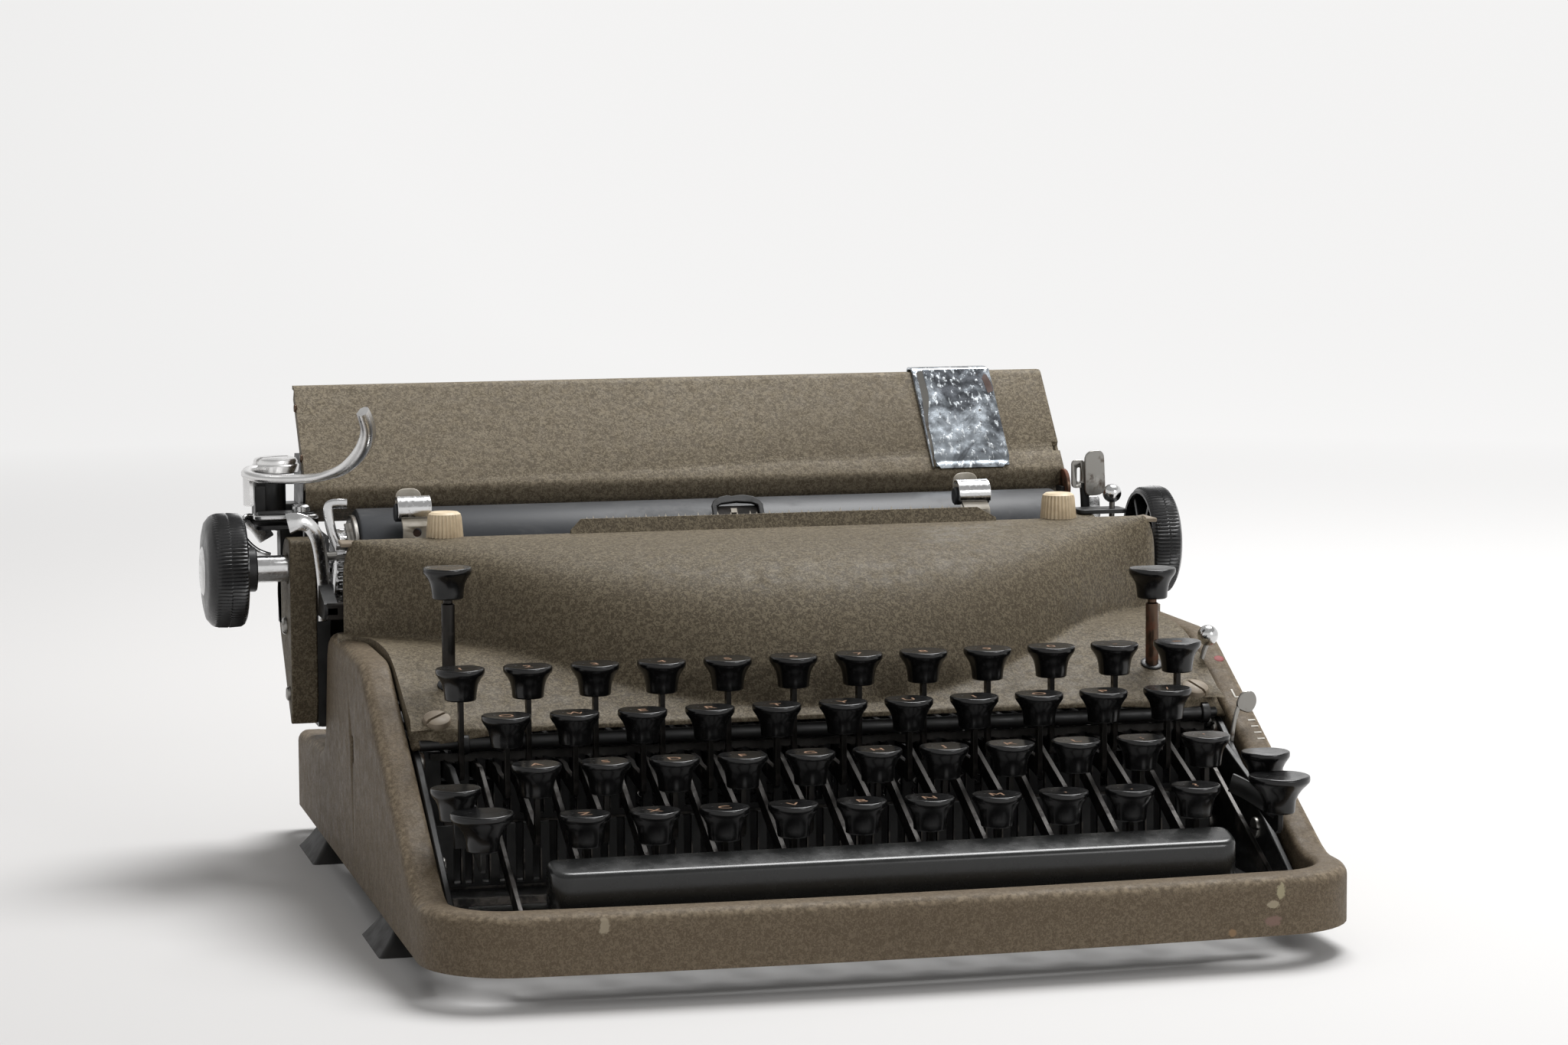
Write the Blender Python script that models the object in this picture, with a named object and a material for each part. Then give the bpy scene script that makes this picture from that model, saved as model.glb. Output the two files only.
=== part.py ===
"""Portable typewriter, about 0.31 m wide over the knobs and 0.28 m deep.

Lengths are in metres and +Z is up. The model is built in the machine's own places: x = 0 on the
casing's middle plane, y = 0 at the ends of the front rail and z = 0 on the table. One empty then
shifts it so that the middle of its footprint is at the world's origin.
"""

import math

import bmesh
import bpy
from mathutils import Vector

# Fits
touch_gap = 0.0003
running_gap = 0.0003
embed = 0.0006
overrun = 0.004

# Casing
casing_half_width = 0.129
casing_depth = 0.281
casing_floor_gap = 0.0085
casing_wall = 0.0015
side_rail_width = 0.009
front_rail_width = 0.0107
rear_rail_width = 0.009
front_rail_top = 0.0245
front_bow = 0.003
front_corner_radius = 0.025
well_corner_radius = 0.012
rail_slope_start = 0.034
shoulder_start = 0.131
shoulder_height = 0.0747
shoulder_end = 0.199
tray_start = 0.207
tray_height = 0.036
wall_slot_y = 0.147
wall_slot_height = 0.046
wall_slot_length = 0.008
wall_slot_width = 0.0025

# Key levers, their fulcrum rod and the caps
key_pitch = 0.01905
keyboard_left = -0.1063
row_stagger_shares = (0.0, 0.5, 0.75, 1.25)
row_key_names = (
    ("1", "2", "3", "4", "5", "6", "7", "8", "9", "0", "hyphen", "equals"),
    ("q", "w", "e", "r", "t", "y", "u", "i", "o", "p", "half"),
    ("a", "s", "d", "f", "g", "h", "j", "k", "l", "semicolon", "quote"),
    ("z", "x", "c", "v", "b", "n", "m", "comma", "period", "slash"),
)
first_row_y = 0.090
first_row_top = 0.0772
row_depth = 0.0193
row_drop = 0.01065
cap_radius = 0.0069
cap_foot_radius = 0.0045
cap_height = 0.0094
cap_rim_height = 0.0012
cap_sides = 10
fulcrum_y = 0.190
fulcrum_z = 0.0475
fulcrum_radius = 0.002
lever_height = 0.005
lever_thickness = 0.0014
lever_tail = 0.006
lever_bend_y = 0.084
lever_foot_drop = 0.0145
stem_depth = 0.0026

# Shift keys, shift locks and their bail
shift_left_x = -0.1095
shift_right_x = 0.1148
shift_y = 0.036
shift_top = 0.046
shift_cap_radius = 0.0085
lock_left_x = -0.1142
lock_right_x = 0.1160
lock_y = 0.0505
lock_top = 0.0505
lock_cap_radius = 0.0064
bail_thickness = 0.0016
bail_bar_y = 0.150
bail_bar_depth = 0.006
bail_bar_bottom = 0.033
bail_bar_height = 0.003

# Space bar
space_bar_half_length = 0.095
space_bar_depth = 0.0115
space_bar_front_gap = 0.0016
space_bar_bottom = 0.020
space_bar_front_top = 0.0325
space_bar_rise = 0.0025
space_bar_bevel = 0.0015
space_bail_bottom = 0.014
space_bail_depth = 0.006

# Tall keys, with the place of each and the height of its top
tall_rod_radius = 0.0019
tall_rod_foot = 0.0575
tall_neck_radius = 0.0013
tall_neck_height = 0.002
tall_cap_height = 0.0075
tall_left_x = -0.1055
tall_left_y = 0.115
tall_left_top = 0.1026
tall_right_x = 0.103
tall_right_y = 0.112
tall_right_top = 0.096

# Ribbon cover: a bow-fronted hood and a sloping apron in one shell
cover_wall = 0.0012
cover_half_width = 0.1266
apron_half_width = 0.1190
apron_front_y = 0.0943
apron_front_z = 0.0593
apron_lift = cover_wall + touch_gap
hood_rear_y = 0.180
hood_top = 0.104
hood_bow_depth = 0.083
lip_left = -0.058
lip_right = 0.080
lip_height = 0.006
lip_lean = 0.004
rod_hole_gap = 0.0005

# Chassis: side plates, comb, rods, carriage beams and feet
plate_x = 0.117
plate_thickness = 0.002
plate_foot = 0.012
plate_front_y = 0.026
plate_rear_y = 0.268
comb_y = 0.0995
comb_thickness = 0.0016
comb_bottom = 0.026
comb_slot_bottom = 0.0335
comb_top = 0.0525
comb_slot_width = 0.0022
front_rod_y = 0.0957
front_rod_z = 0.0550
front_rod_radius = 0.0021
beam_thickness = 0.008
front_beam_y = 0.208
rear_beam_y = 0.256
beam_depth = 0.006
brace_y = 0.165
brace_depth = 0.012
brace_height = 0.003
foot_inner_x = 0.100
foot_outer_x = 0.1325
foot_length = 0.036
foot_inset = 0.006
foot_front_y = 0.073
foot_rear_y = 0.216
foot_pad_height = 0.003
bottom_gap = 0.0004

# Carriage, placed by its own middle, which stands left of the casing's middle
carriage_x = -0.0125
carriage_half_width = 0.1185
carriage_plate = 0.004
carriage_rear_y = 0.268
carriage_rail_height = 0.006
rail_front_y = 0.190
rail_front_z = 0.079
rail_front_depth = 0.005
platen_y = 0.2145
platen_z = 0.0922
platen_radius = 0.0175
platen_left = -0.1055
platen_right = 0.1165
shaft_radius = 0.0041
shaft_gap = 0.0006
ratchet_radius = 0.0115
ratchet_left = -0.1125
ratchet_thickness = 0.0035
ratchet_teeth = 20
ratchet_tooth_depth = 0.0016
knob_radius = 0.0174
knob_grip = 0.010
knob_dome = 0.0025
knob_hub_radius = 0.0068
knob_hub_length = 0.0045
knob_bore_depth = 0.006
knob_wall = 0.0024
knob_left_gap = 0.0094
knob_right_gap = 0.0137
knob_sides = 24
end_cover_thickness = 0.008
end_cover_front_y = 0.2075
end_cover_depth = 0.036
end_cover_top = 0.1015
end_cover_bottom = 0.044

# Paper table and the paper side guide
table_half_width = 0.1215
table_offset_x = 0.0025
table_thickness = 0.0012
crease_y = 0.225
crease_z = 0.1145
table_run = 0.027
table_rise = 0.0303
table_fold = 0.004
ledge_drop = 0.0055
ledge_run = 0.002
ledge_tail_run = 0.008
ledge_tail_drop = 0.005
guide_left = 0.0805
guide_width = 0.0255
guide_thickness = 0.001
guide_hook = 0.006

# Carriage return lever on its bracket
lever_pivot_x = -0.1265
lever_pivot_y = 0.240
bracket_half_width = 0.0075
bracket_half_depth = 0.009
bracket_bottom = 0.1015
bracket_top = 0.1165
return_hub_radius = 0.0072
return_hub_height = 0.0035
return_screw_radius = 0.0062
return_screw_height = 0.0022
return_arm_radius = 0.0021
return_arm_reach = 0.045
return_arm_rise = 0.0245

# Paper fingers
finger_left_x = -0.0885
finger_right_x = 0.0845
finger_width = 0.0067
finger_thickness = 0.0012
finger_base_height = 0.003
finger_rise = 0.030
finger_roller_radius = 0.0040
finger_roller_width = 0.0094
finger_roller_angle = math.radians(125)

# Colours with their roughness and metallic value
olive = ((0.165, 0.145, 0.108), 0.55, 0.1)
black_paint = ((0.018, 0.018, 0.019), 0.35, 0.2)
black_plastic = ((0.014, 0.014, 0.015), 0.3, 0.0)
dark_steel = ((0.06, 0.055, 0.05), 0.4, 0.8)
bright_metal = ((0.75, 0.75, 0.76), 0.18, 1.0)
rubber = ((0.045, 0.05, 0.06), 0.5, 0.0)


def clear_scene():
    for scene_object in list(bpy.data.objects):
        bpy.data.objects.remove(scene_object, do_unlink=True)


def make_material(name, look):
    colour, roughness, metallic = look
    material = bpy.data.materials.new(name)
    material.use_nodes = True
    shader = material.node_tree.nodes["Principled BSDF"]
    shader.inputs["Base Color"].default_value = (*colour, 1.0)
    shader.inputs["Roughness"].default_value = roughness
    shader.inputs["Metallic"].default_value = metallic
    return material


def make_object(name, mesh, look=None, parent=None):
    """Links a mesh as an object. Its vertices are already in its parent's places."""
    model_object = bpy.data.objects.new(name, mesh)
    bpy.context.scene.collection.objects.link(model_object)
    if look is not None and not mesh.materials:
        mesh.materials.append(make_material(name, look))
    if parent is not None:
        model_object.parent = parent
    return model_object


def mesh_from(points, faces):
    mesh = bpy.data.meshes.new("mesh")
    mesh.from_pydata([tuple(point) for point in points], [], faces)
    working = bmesh.new()
    working.from_mesh(mesh)
    bmesh.ops.recalc_face_normals(working, faces=working.faces)
    working.to_mesh(mesh)
    working.free()
    return mesh


def prism(outline, axis, start, end):
    """Extrudes a flat outline along an axis. Outlines are (y, z) for "X" and (x, y) for "Z"."""
    def place(point, along):
        if axis == "X":
            return (along, point[0], point[1])
        if axis == "Y":
            return (point[0], along, point[1])
        return (point[0], point[1], along)

    count = len(outline)
    points = [place(point, start) for point in outline] + [place(point, end) for point in outline]
    faces = [list(range(count)), list(range(count, 2 * count))]
    for index in range(count):
        following = (index + 1) % count
        faces.append([index, following, count + following, count + index])
    return mesh_from(points, faces)


def block(x_range, y_range, z_range):
    outline = [(x_range[0], y_range[0]), (x_range[1], y_range[0]),
               (x_range[1], y_range[1]), (x_range[0], y_range[1])]
    return prism(outline, "Z", z_range[0], z_range[1])


def turned(profile, sides, axis, centre):
    """Turns a profile of (along, radius) points about an axis through the centre.

    The profile starts and ends on the axis, with radius zero.
    """
    rings = profile[1:-1]
    points = []

    def place(along, radius, angle):
        first = radius * math.cos(angle)
        second = radius * math.sin(angle)
        if axis == "X":
            return (centre[0] + along, centre[1] + first, centre[2] + second)
        return (centre[0] + first, centre[1] + second, centre[2] + along)

    for along, radius in rings:
        for side in range(sides):
            points.append(place(along, radius, 2 * math.pi * (side + 0.5) / sides))
    faces = [list(range(sides)), list(range((len(rings) - 1) * sides, len(rings) * sides))]
    for ring in range(len(rings) - 1):
        for side in range(sides):
            following = (side + 1) % sides
            low = ring * sides
            high = low + sides
            faces.append([low + side, low + following, high + following, high + side])
    return mesh_from(points, faces)


def rod(axis, centre, radius, start, end, sides=12):
    return turned([(start, 0), (start, radius), (end, radius), (end, 0)], sides, axis, centre)


def combine(base, tools, operation):
    """Returns the mesh of a Boolean chain: every tool mesh is joined to or cut from the base."""
    result = base
    for tool in tools:
        target_object = make_object("boolean_target", result)
        tool_object = make_object("boolean_tool", tool)
        modifier = target_object.modifiers.new("boolean", "BOOLEAN")
        modifier.operation = operation
        modifier.solver = "EXACT"
        modifier.object = tool_object
        graph = bpy.context.evaluated_depsgraph_get()
        result = bpy.data.meshes.new_from_object(target_object.evaluated_get(graph))
        bpy.data.objects.remove(target_object, do_unlink=True)
        bpy.data.objects.remove(tool_object, do_unlink=True)
    return result


def union(base, *tools):
    return combine(base, tools, "UNION")


def cut(base, *tools):
    return combine(base, tools, "DIFFERENCE")


def shift_mesh(mesh, offset):
    for vertex in mesh.vertices:
        vertex.co += Vector(offset)
    return mesh


def shade_round(mesh):
    mesh.shade_smooth()
    mesh.set_sharp_from_angle(angle=math.radians(35))


def finish_piece(name, mesh, look, parent, pivot=(0, 0, 0)):
    """Makes the named piece with its origin at the pivot, which is in its parent's places."""
    shift_mesh(mesh, [-value for value in pivot])
    mesh.materials.clear()
    piece = make_object(name, mesh, look, parent)
    piece.location = pivot
    shade_round(mesh)
    return piece


def arc_points(centre, radius, start_degrees, end_degrees, steps):
    points = []
    for step in range(steps + 1):
        angle = math.radians(start_degrees + (end_degrees - start_degrees) * step / steps)
        points.append((centre[0] + radius * math.cos(angle), centre[1] + radius * math.sin(angle)))
    return points


def casing_plan(inset):
    """Outline of the casing seen from above, with a bowed front and round front corners."""
    half_width = casing_half_width - inset
    radius = front_corner_radius - inset
    straight = casing_half_width - front_corner_radius
    bow_shares = (-0.75, -0.4, 0.0, 0.4, 0.75)
    outline = [(half_width, casing_depth - inset), (-half_width, casing_depth - inset)]
    outline += arc_points((-straight, front_corner_radius), radius, 180, 270, 5)
    for share in bow_shares:
        outline.append((share * straight, inset - front_bow * (1 - share * share)))
    outline += arc_points((straight, front_corner_radius), radius, 270, 360, 5)
    return outline


def casing_side(inset):
    """Outline of the casing seen from its left, as (y, z)."""
    bottom = casing_floor_gap
    front = -front_bow - overrun
    if inset:
        bottom -= overrun
    fillet_shares = ((0.0, 1.0), (0.35, 0.25), (1.0, 0.0))
    outline = [(front, bottom), (casing_depth + overrun, bottom), (casing_depth + overrun, tray_height - inset)]
    step_height = tray_start - shoulder_end
    for run_share, rise_share in reversed(fillet_shares):
        outline.append((tray_start + inset + step_height * run_share,
                        tray_height - inset + step_height * rise_share))
    outline.append((shoulder_end + inset, shoulder_height - inset))
    outline.append((shoulder_start + inset * 0.25, shoulder_height - inset))
    outline.append((rail_slope_start + inset * 0.25, front_rail_top - inset))
    outline.append((front, front_rail_top - inset))
    return outline


def casing_solid(inset):
    body = prism(casing_side(inset), "X", -casing_half_width - overrun, casing_half_width + overrun)
    plan = prism(casing_plan(inset), "Z", -overrun, shoulder_height + overrun)
    return combine(body, [plan], "INTERSECT")


def build_casing(parent):
    well_x = casing_half_width - side_rail_width
    radius = well_corner_radius
    well = [(well_x, casing_depth - rear_rail_width), (-well_x, casing_depth - rear_rail_width)]
    well += arc_points((-well_x + radius, front_rail_width + radius), radius, 180, 270, 4)
    well += arc_points((well_x - radius, front_rail_width + radius), radius, 270, 360, 4)
    well_cutter = prism(well, "Z", 0, shoulder_height + overrun)
    slot = block((-casing_half_width - overrun, -casing_half_width + casing_wall + overrun),
                 (wall_slot_y - wall_slot_width / 2, wall_slot_y + wall_slot_width / 2),
                 (wall_slot_height - wall_slot_length / 2, wall_slot_height + wall_slot_length / 2))
    shell = cut(casing_solid(0), casing_solid(casing_wall), well_cutter, slot)
    return finish_piece("casing", shell, olive, parent)


def apron_z(y):
    """Height of the apron's outer face: a slope up to the shoulder, then level."""
    if y >= shoulder_start:
        return shoulder_height + apron_lift
    share = (y - apron_front_y) / (shoulder_start - apron_front_y)
    return apron_front_z + share * (shoulder_height + apron_lift - apron_front_z)


def cover_stations():
    """Places along the hood's foot from its middle to its end, each with its place on the rim.

    Shares run over the half width of the hood or the apron and over the bow's depth.
    """
    foot_shares = ((0.0, 0.035), (0.17, 0.055), (0.33, 0.12), (0.47, 0.22), (0.60, 0.36),
                   (0.70, 0.51), (0.78, 0.66), (0.85, 0.78), (0.91, 0.88), (0.955, 0.925),
                   (0.985, 0.965), (1.0, 1.0))
    rim_shares = ((0.0, 0.0), (0.17, 0.0), (0.36, 0.0), (0.56, 0.0), (0.78, 0.0), (1.0, 0.0),
                  (1.0, 0.22), (1.0, 0.44), (1.0, 0.66), (1.0, 0.88), (1.06, 0.94), (1.075, 1.0))
    depth = hood_rear_y - apron_front_y
    stations = []
    for (foot_x, foot_y), (rim_x, rim_y) in zip(foot_shares, rim_shares):
        foot = (foot_x * cover_half_width, apron_front_y + foot_y * depth)
        rim = (rim_x * apron_half_width, apron_front_y + rim_y * depth)
        stations.append((foot, rim))
    return stations


def cover_column(foot, rim):
    """One column of the cover's outer face, from the apron's rim up over the hood to its rear."""
    rise_shares = ((0.0, 0.0, 0.0), (0.38, 0.075, 0.0), (0.66, 0.16, 0.0), (0.84, 0.27, 0.006),
                   (0.945, 0.43, 0.016), (0.99, 0.68, 0.025), (1.0, 1.0, 0.03))
    middle_y = (rim[1] + foot[1]) / 2
    middle_x = (rim[0] + foot[0]) / 2
    if rim[1] < shoulder_start < foot[1]:
        middle_x = rim[0] + (foot[0] - rim[0]) * (shoulder_start - rim[1]) / (foot[1] - rim[1])
        middle_y = shoulder_start
    foot_z = apron_z(foot[1])
    column = [(rim[0], rim[1], apron_z(rim[1])), (middle_x, middle_y, apron_z(middle_y))]
    for rise, back, draw in rise_shares:
        column.append((foot[0] * (1 - draw), foot[1] + back * (hood_rear_y - foot[1]),
                       foot_z + rise * (hood_top - foot_z)))
    return column


def build_cover(parent):
    half = cover_stations()
    mirrored = [((-foot[0], foot[1]), (-rim[0], rim[1])) for foot, rim in reversed(half[1:])]
    columns = [cover_column(foot, rim) for foot, rim in mirrored + half]
    rows = len(columns[0])
    points = [point for column in columns for point in column]
    faces = []
    for column in range(len(columns) - 1):
        for row in range(rows - 1):
            low = column * rows + row
            faces.append([low, low + rows, low + rows + 1, low + 1])
    skin = make_object("skin", mesh_from(points, faces))
    if skin.data.polygons[len(skin.data.polygons) // 2].normal.z < 0:
        skin.data.flip_normals()
    solidify = skin.modifiers.new("wall", "SOLIDIFY")
    solidify.thickness = cover_wall
    solidify.offset = -1
    graph = bpy.context.evaluated_depsgraph_get()
    shell = bpy.data.meshes.new_from_object(skin.evaluated_get(graph))
    bpy.data.objects.remove(skin, do_unlink=True)
    lip_outline = [(hood_rear_y - cover_wall, hood_top - cover_wall), (hood_rear_y, hood_top - cover_wall),
                   (hood_rear_y + lip_lean, hood_top + lip_height),
                   (hood_rear_y + lip_lean - cover_wall, hood_top + lip_height)]
    lip = prism(lip_outline, "X", lip_left, lip_right)
    holes = []
    for hole_x, hole_y in ((tall_left_x, tall_left_y), (tall_right_x, tall_right_y)):
        holes.append(rod("Z", (hole_x, hole_y, 0), tall_rod_radius + rod_hole_gap,
                         apron_front_z - overrun, shoulder_height + overrun))
    shell = cut(union(shell, lip), *holes)
    return finish_piece("ribbon_cover", shell, olive, parent)


def lever_outline(stem_y, stem_foot, stem_top, bend_y):
    """A flat key lever as (y, z): a notch over the fulcrum rod, the bar, and the stem under its cap."""
    bar_top = fulcrum_z + lever_height / 2
    bar_bottom = fulcrum_z - lever_height / 2
    notch = fulcrum_radius + running_gap
    notch_corner = notch * 0.52
    crown = fulcrum_z + notch + fulcrum_radius
    rear_stem = stem_y + stem_depth / 2
    front_stem = stem_y - stem_depth / 2
    outline = [
        (fulcrum_y - notch, bar_bottom),
        (fulcrum_y - notch, fulcrum_z + notch_corner),
        (fulcrum_y - notch_corner, fulcrum_z + notch),
        (fulcrum_y + notch_corner, fulcrum_z + notch),
        (fulcrum_y + notch, fulcrum_z + notch_corner),
        (fulcrum_y + notch, bar_bottom),
        (fulcrum_y + lever_tail, bar_bottom),
        (fulcrum_y + lever_tail, crown),
        (fulcrum_y - lever_tail, crown),
        (fulcrum_y - 2 * lever_tail, bar_top),
        (bend_y, bar_top),
        (rear_stem, min(bar_top, stem_foot + lever_height)),
        (rear_stem, stem_top),
        (front_stem, stem_top),
        (front_stem, stem_foot + stem_depth / 2),
        (stem_y, stem_foot),
        (bend_y, bar_bottom),
    ]
    return outline


def cap_mesh(centre_x, centre_y, top, radius, foot_radius, height, sides):
    """A flared key cap with a narrow foot, turned about an upright axis."""
    profile = [(top - height, 0), (top - height, foot_radius),
               (top - height * 0.55, foot_radius * 1.06),
               (top - cap_rim_height, radius), (top, radius * 0.94), (top, 0)]
    return turned(profile, sides, "Z", (centre_x, centre_y, 0))


def row_place(row):
    """Stem place and cap top of a row, counted from the rear."""
    return first_row_y - row * row_depth, first_row_top - row * row_drop


def key_mesh(row):
    stem_y, top = row_place(row)
    cap_foot = top - cap_height
    foot_shares = (1.0, 1.0, 0.93, 1.0)
    stem_foot = cap_foot - lever_foot_drop * foot_shares[row]
    bend_y = lever_bend_y
    if row == 0:
        stem_foot = fulcrum_z - lever_height / 2
        bend_y = stem_y + stem_depth
    outline = lever_outline(stem_y, stem_foot, cap_foot + embed * 4, bend_y)
    lever = prism(outline, "X", -lever_thickness / 2, lever_thickness / 2)
    cap = cap_mesh(0, stem_y, top, cap_radius, cap_foot_radius, cap_height, cap_sides)
    return union(lever, cap)


def key_x(row, index):
    return keyboard_left + (row_stagger_shares[row] + index) * key_pitch


def build_keys(parent):
    """All character keys. The keys of a row share one mesh, with its origin on the fulcrum rod."""
    for row, names in enumerate(row_key_names):
        mesh = shift_mesh(key_mesh(row), (0, -fulcrum_y, -fulcrum_z))
        mesh.materials.clear()
        shade_round(mesh)
        for index, name in enumerate(names):
            key = make_object("key_" + name, mesh, black_plastic, parent)
            key.location = (key_x(row, index), fulcrum_y, fulcrum_z)


def space_arm_places():
    """The two free lever places beside the outermost keys of the first row."""
    quarter = key_pitch / 4
    return keyboard_left + quarter, key_x(0, len(row_key_names[0]) - 1) + quarter


def build_shift_bail(parent):
    bar_top = bail_bar_bottom + bail_bar_height
    pieces = []
    for shift_x, lock_x in ((shift_left_x, lock_left_x), (shift_right_x, lock_right_x)):
        shift_foot = shift_top - cap_height
        lock_foot = lock_top - cap_height
        lever = lever_outline(shift_y, shift_foot - lever_foot_drop / 2, shift_foot + embed, lever_bend_y)
        inner = shift_x - bail_thickness / 2
        outer = shift_x + bail_thickness / 2
        pieces.append(prism(lever, "X", inner, outer))
        lock_stem = [(lock_y - stem_depth / 2, lock_foot - lever_foot_drop / 2),
                     (lock_y + stem_depth / 2, lock_foot - lever_foot_drop / 2),
                     (lock_y + stem_depth / 2, lock_foot + embed),
                     (lock_y - stem_depth / 2, lock_foot + embed)]
        stem_inner, stem_outer = sorted((shift_x, lock_x))
        pieces.append(prism(lock_stem, "X", stem_inner - bail_thickness / 2, stem_outer + bail_thickness / 2))
        drop = block((inner, outer), (bail_bar_y - bail_bar_depth / 2, bail_bar_y + bail_bar_depth / 2),
                     (bail_bar_bottom, fulcrum_z))
        pieces.append(drop)
        pieces.append(cap_mesh(shift_x, shift_y, shift_top, shift_cap_radius,
                               cap_foot_radius, cap_height, cap_sides + 2))
        pieces.append(cap_mesh(lock_x, lock_y, lock_top, lock_cap_radius,
                               cap_foot_radius, cap_height, cap_sides))
    bar = block((shift_left_x, shift_right_x), (bail_bar_y - bail_bar_depth / 2, bail_bar_y + bail_bar_depth / 2),
                (bail_bar_bottom, bar_top))
    bail = union(bar, *pieces)
    pivot = (0, fulcrum_y, fulcrum_z)
    return finish_piece("shift_bail", bail, black_plastic, parent, pivot)


def build_space_bar(parent):
    front = front_rail_width + space_bar_front_gap
    rear = front + space_bar_depth
    bevel = space_bar_bevel
    section = [(front, space_bar_bottom), (rear, space_bar_bottom), (rear, space_bar_front_top + space_bar_rise),
               (front + 2 * bevel, space_bar_front_top + bevel / 2), (front, space_bar_front_top - bevel)]
    bar = prism(section, "X", -space_bar_half_length, space_bar_half_length)
    arm_left, arm_right = space_arm_places()
    bail_front = front + (space_bar_depth - space_bail_depth) / 2
    half = lever_thickness / 2
    bail = block((arm_left - half, arm_right + half), (bail_front, bail_front + space_bail_depth),
                 (space_bail_bottom, space_bar_bottom + embed))
    arms = []
    for arm_x in (arm_left, arm_right):
        outline = lever_outline(bail_front + space_bail_depth / 2, space_bail_bottom,
                                space_bar_bottom, lever_bend_y)
        arms.append(prism(outline, "X", arm_x - half, arm_x + half))
    body = union(bar, bail, *arms)
    pivot = (0, fulcrum_y, fulcrum_z)
    return finish_piece("space_bar", body, black_plastic, parent, pivot)


def build_tall_key(name, parent, x, y, top):
    neck_foot = top - tall_cap_height - tall_neck_height
    profile = [(tall_rod_foot, 0), (tall_rod_foot, tall_rod_radius), (neck_foot, tall_rod_radius),
               (neck_foot, tall_neck_radius), (top - tall_cap_height, tall_neck_radius),
               (top - tall_cap_height, cap_foot_radius),
               (top - tall_cap_height / 2, cap_foot_radius * 1.1),
               (top - cap_rim_height, cap_radius), (top, cap_radius * 0.94), (top, 0)]
    mesh = turned(profile, cap_sides + 2, "Z", (x, y, 0))
    return finish_piece(name, mesh, black_plastic, parent, (x, y, tall_rod_foot))


def comb_plate():
    """A plate across the machine with one open slot for every lever that passes through it."""
    slots = [key_x(row, index) for row in range(len(row_key_names)) for index in range(len(row_key_names[row]))]
    slots += list(space_arm_places()) + [shift_left_x, shift_right_x]
    end = plate_x + embed
    outline = [(-end, comb_top), (-end, comb_bottom), (end, comb_bottom), (end, comb_top)]
    for slot in sorted(slots, reverse=True):
        half = comb_slot_width / 2
        outline += [(slot + half, comb_top), (slot + half, comb_slot_bottom),
                    (slot - half, comb_slot_bottom), (slot - half, comb_top)]
    return prism(outline, "Y", comb_y, comb_y + comb_thickness)


def chassis_foot(side, front):
    """A rubber foot that widens towards the table, with the pad that carries it."""
    top = casing_floor_gap + bottom_gap
    rear = front + foot_length
    inner = foot_inner_x
    outer = foot_outer_x
    low = [(inner, front), (outer, front), (outer, rear), (inner, rear)]
    high = [(inner + foot_inset, front + foot_inset), (outer - foot_inset, front + foot_inset),
            (outer - foot_inset, rear - foot_inset), (inner + foot_inset, rear - foot_inset)]
    points = [(side * x, y, 0) for x, y in low] + [(side * x, y, top) for x, y in high]
    faces = [[0, 1, 2, 3], [4, 5, 6, 7]]
    for index in range(4):
        following = (index + 1) % 4
        faces.append([index, following, 4 + following, 4 + index])
    rubber_block = mesh_from(points, faces)
    x_range = sorted((side * (inner + foot_inset), side * (outer - foot_inset)))
    pad = block(x_range, (front + foot_inset, rear - foot_inset),
                (top - embed, plate_foot + foot_pad_height - embed))
    return [rubber_block, pad]


def build_chassis(parent):
    sill = front_rail_top - casing_wall
    plate = [(plate_front_y, plate_foot), (plate_rear_y, plate_foot),
             (plate_rear_y, tray_height), (tray_start, tray_height),
             (shoulder_end - overrun, fulcrum_z + 2 * fulcrum_radius + overrun),
             (shoulder_start, fulcrum_z + 2 * fulcrum_radius + overrun),
             (comb_y + comb_thickness, comb_top + overrun), (front_rod_y - overrun, comb_top + overrun),
             (rail_slope_start, sill), (plate_front_y, sill)]
    end = plate_x + embed
    pieces = []
    for side in (-1, 1):
        x_range = sorted((side * plate_x, side * (plate_x + plate_thickness)))
        pieces.append(prism(plate, "X", *x_range))
        for front in (foot_front_y, foot_rear_y):
            pieces += chassis_foot(side, front)
    pieces.append(rod("X", (0, fulcrum_y, fulcrum_z), fulcrum_radius, -end, end))
    pieces.append(rod("X", (0, front_rod_y, front_rod_z), front_rod_radius, -end, end))
    beam_top = tray_height + beam_thickness - touch_gap
    for beam_y in (front_beam_y, rear_beam_y):
        pieces.append(block((-end, end), (beam_y, beam_y + beam_depth), (tray_height - beam_thickness, beam_top)))
    pieces.append(block((-end, end), (brace_y, brace_y + brace_depth), (plate_foot, plate_foot + brace_height)))
    chassis = union(comb_plate(), *pieces)
    return finish_piece("chassis", chassis, black_paint, parent)


def carriage_right():
    return platen_right + carriage_plate + 2 * touch_gap


def knob_left_outer():
    """Outer face of the left knob, whose hub stands clear of the left end cover."""
    cover_face = -carriage_half_width - end_cover_thickness
    return cover_face - knob_left_gap - knob_hub_length - knob_grip - knob_dome


def knob_right_outer():
    """Outer face of the right knob, whose hub stands clear of the right end cover."""
    return carriage_right() + end_cover_thickness + knob_right_gap + knob_wall + knob_grip


def table_frame():
    """The table's front face: its foot at the crease, its direction and its rearward normal."""
    foot = Vector((crease_y, crease_z))
    along = Vector((table_run, table_rise))
    direction = along.normalized()
    return foot, along, Vector((direction.y, -direction.x))


def table_point(share, depth):
    foot, along, normal = table_frame()
    place = foot + along * share + normal * depth
    return (place.x, place.y)


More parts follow.
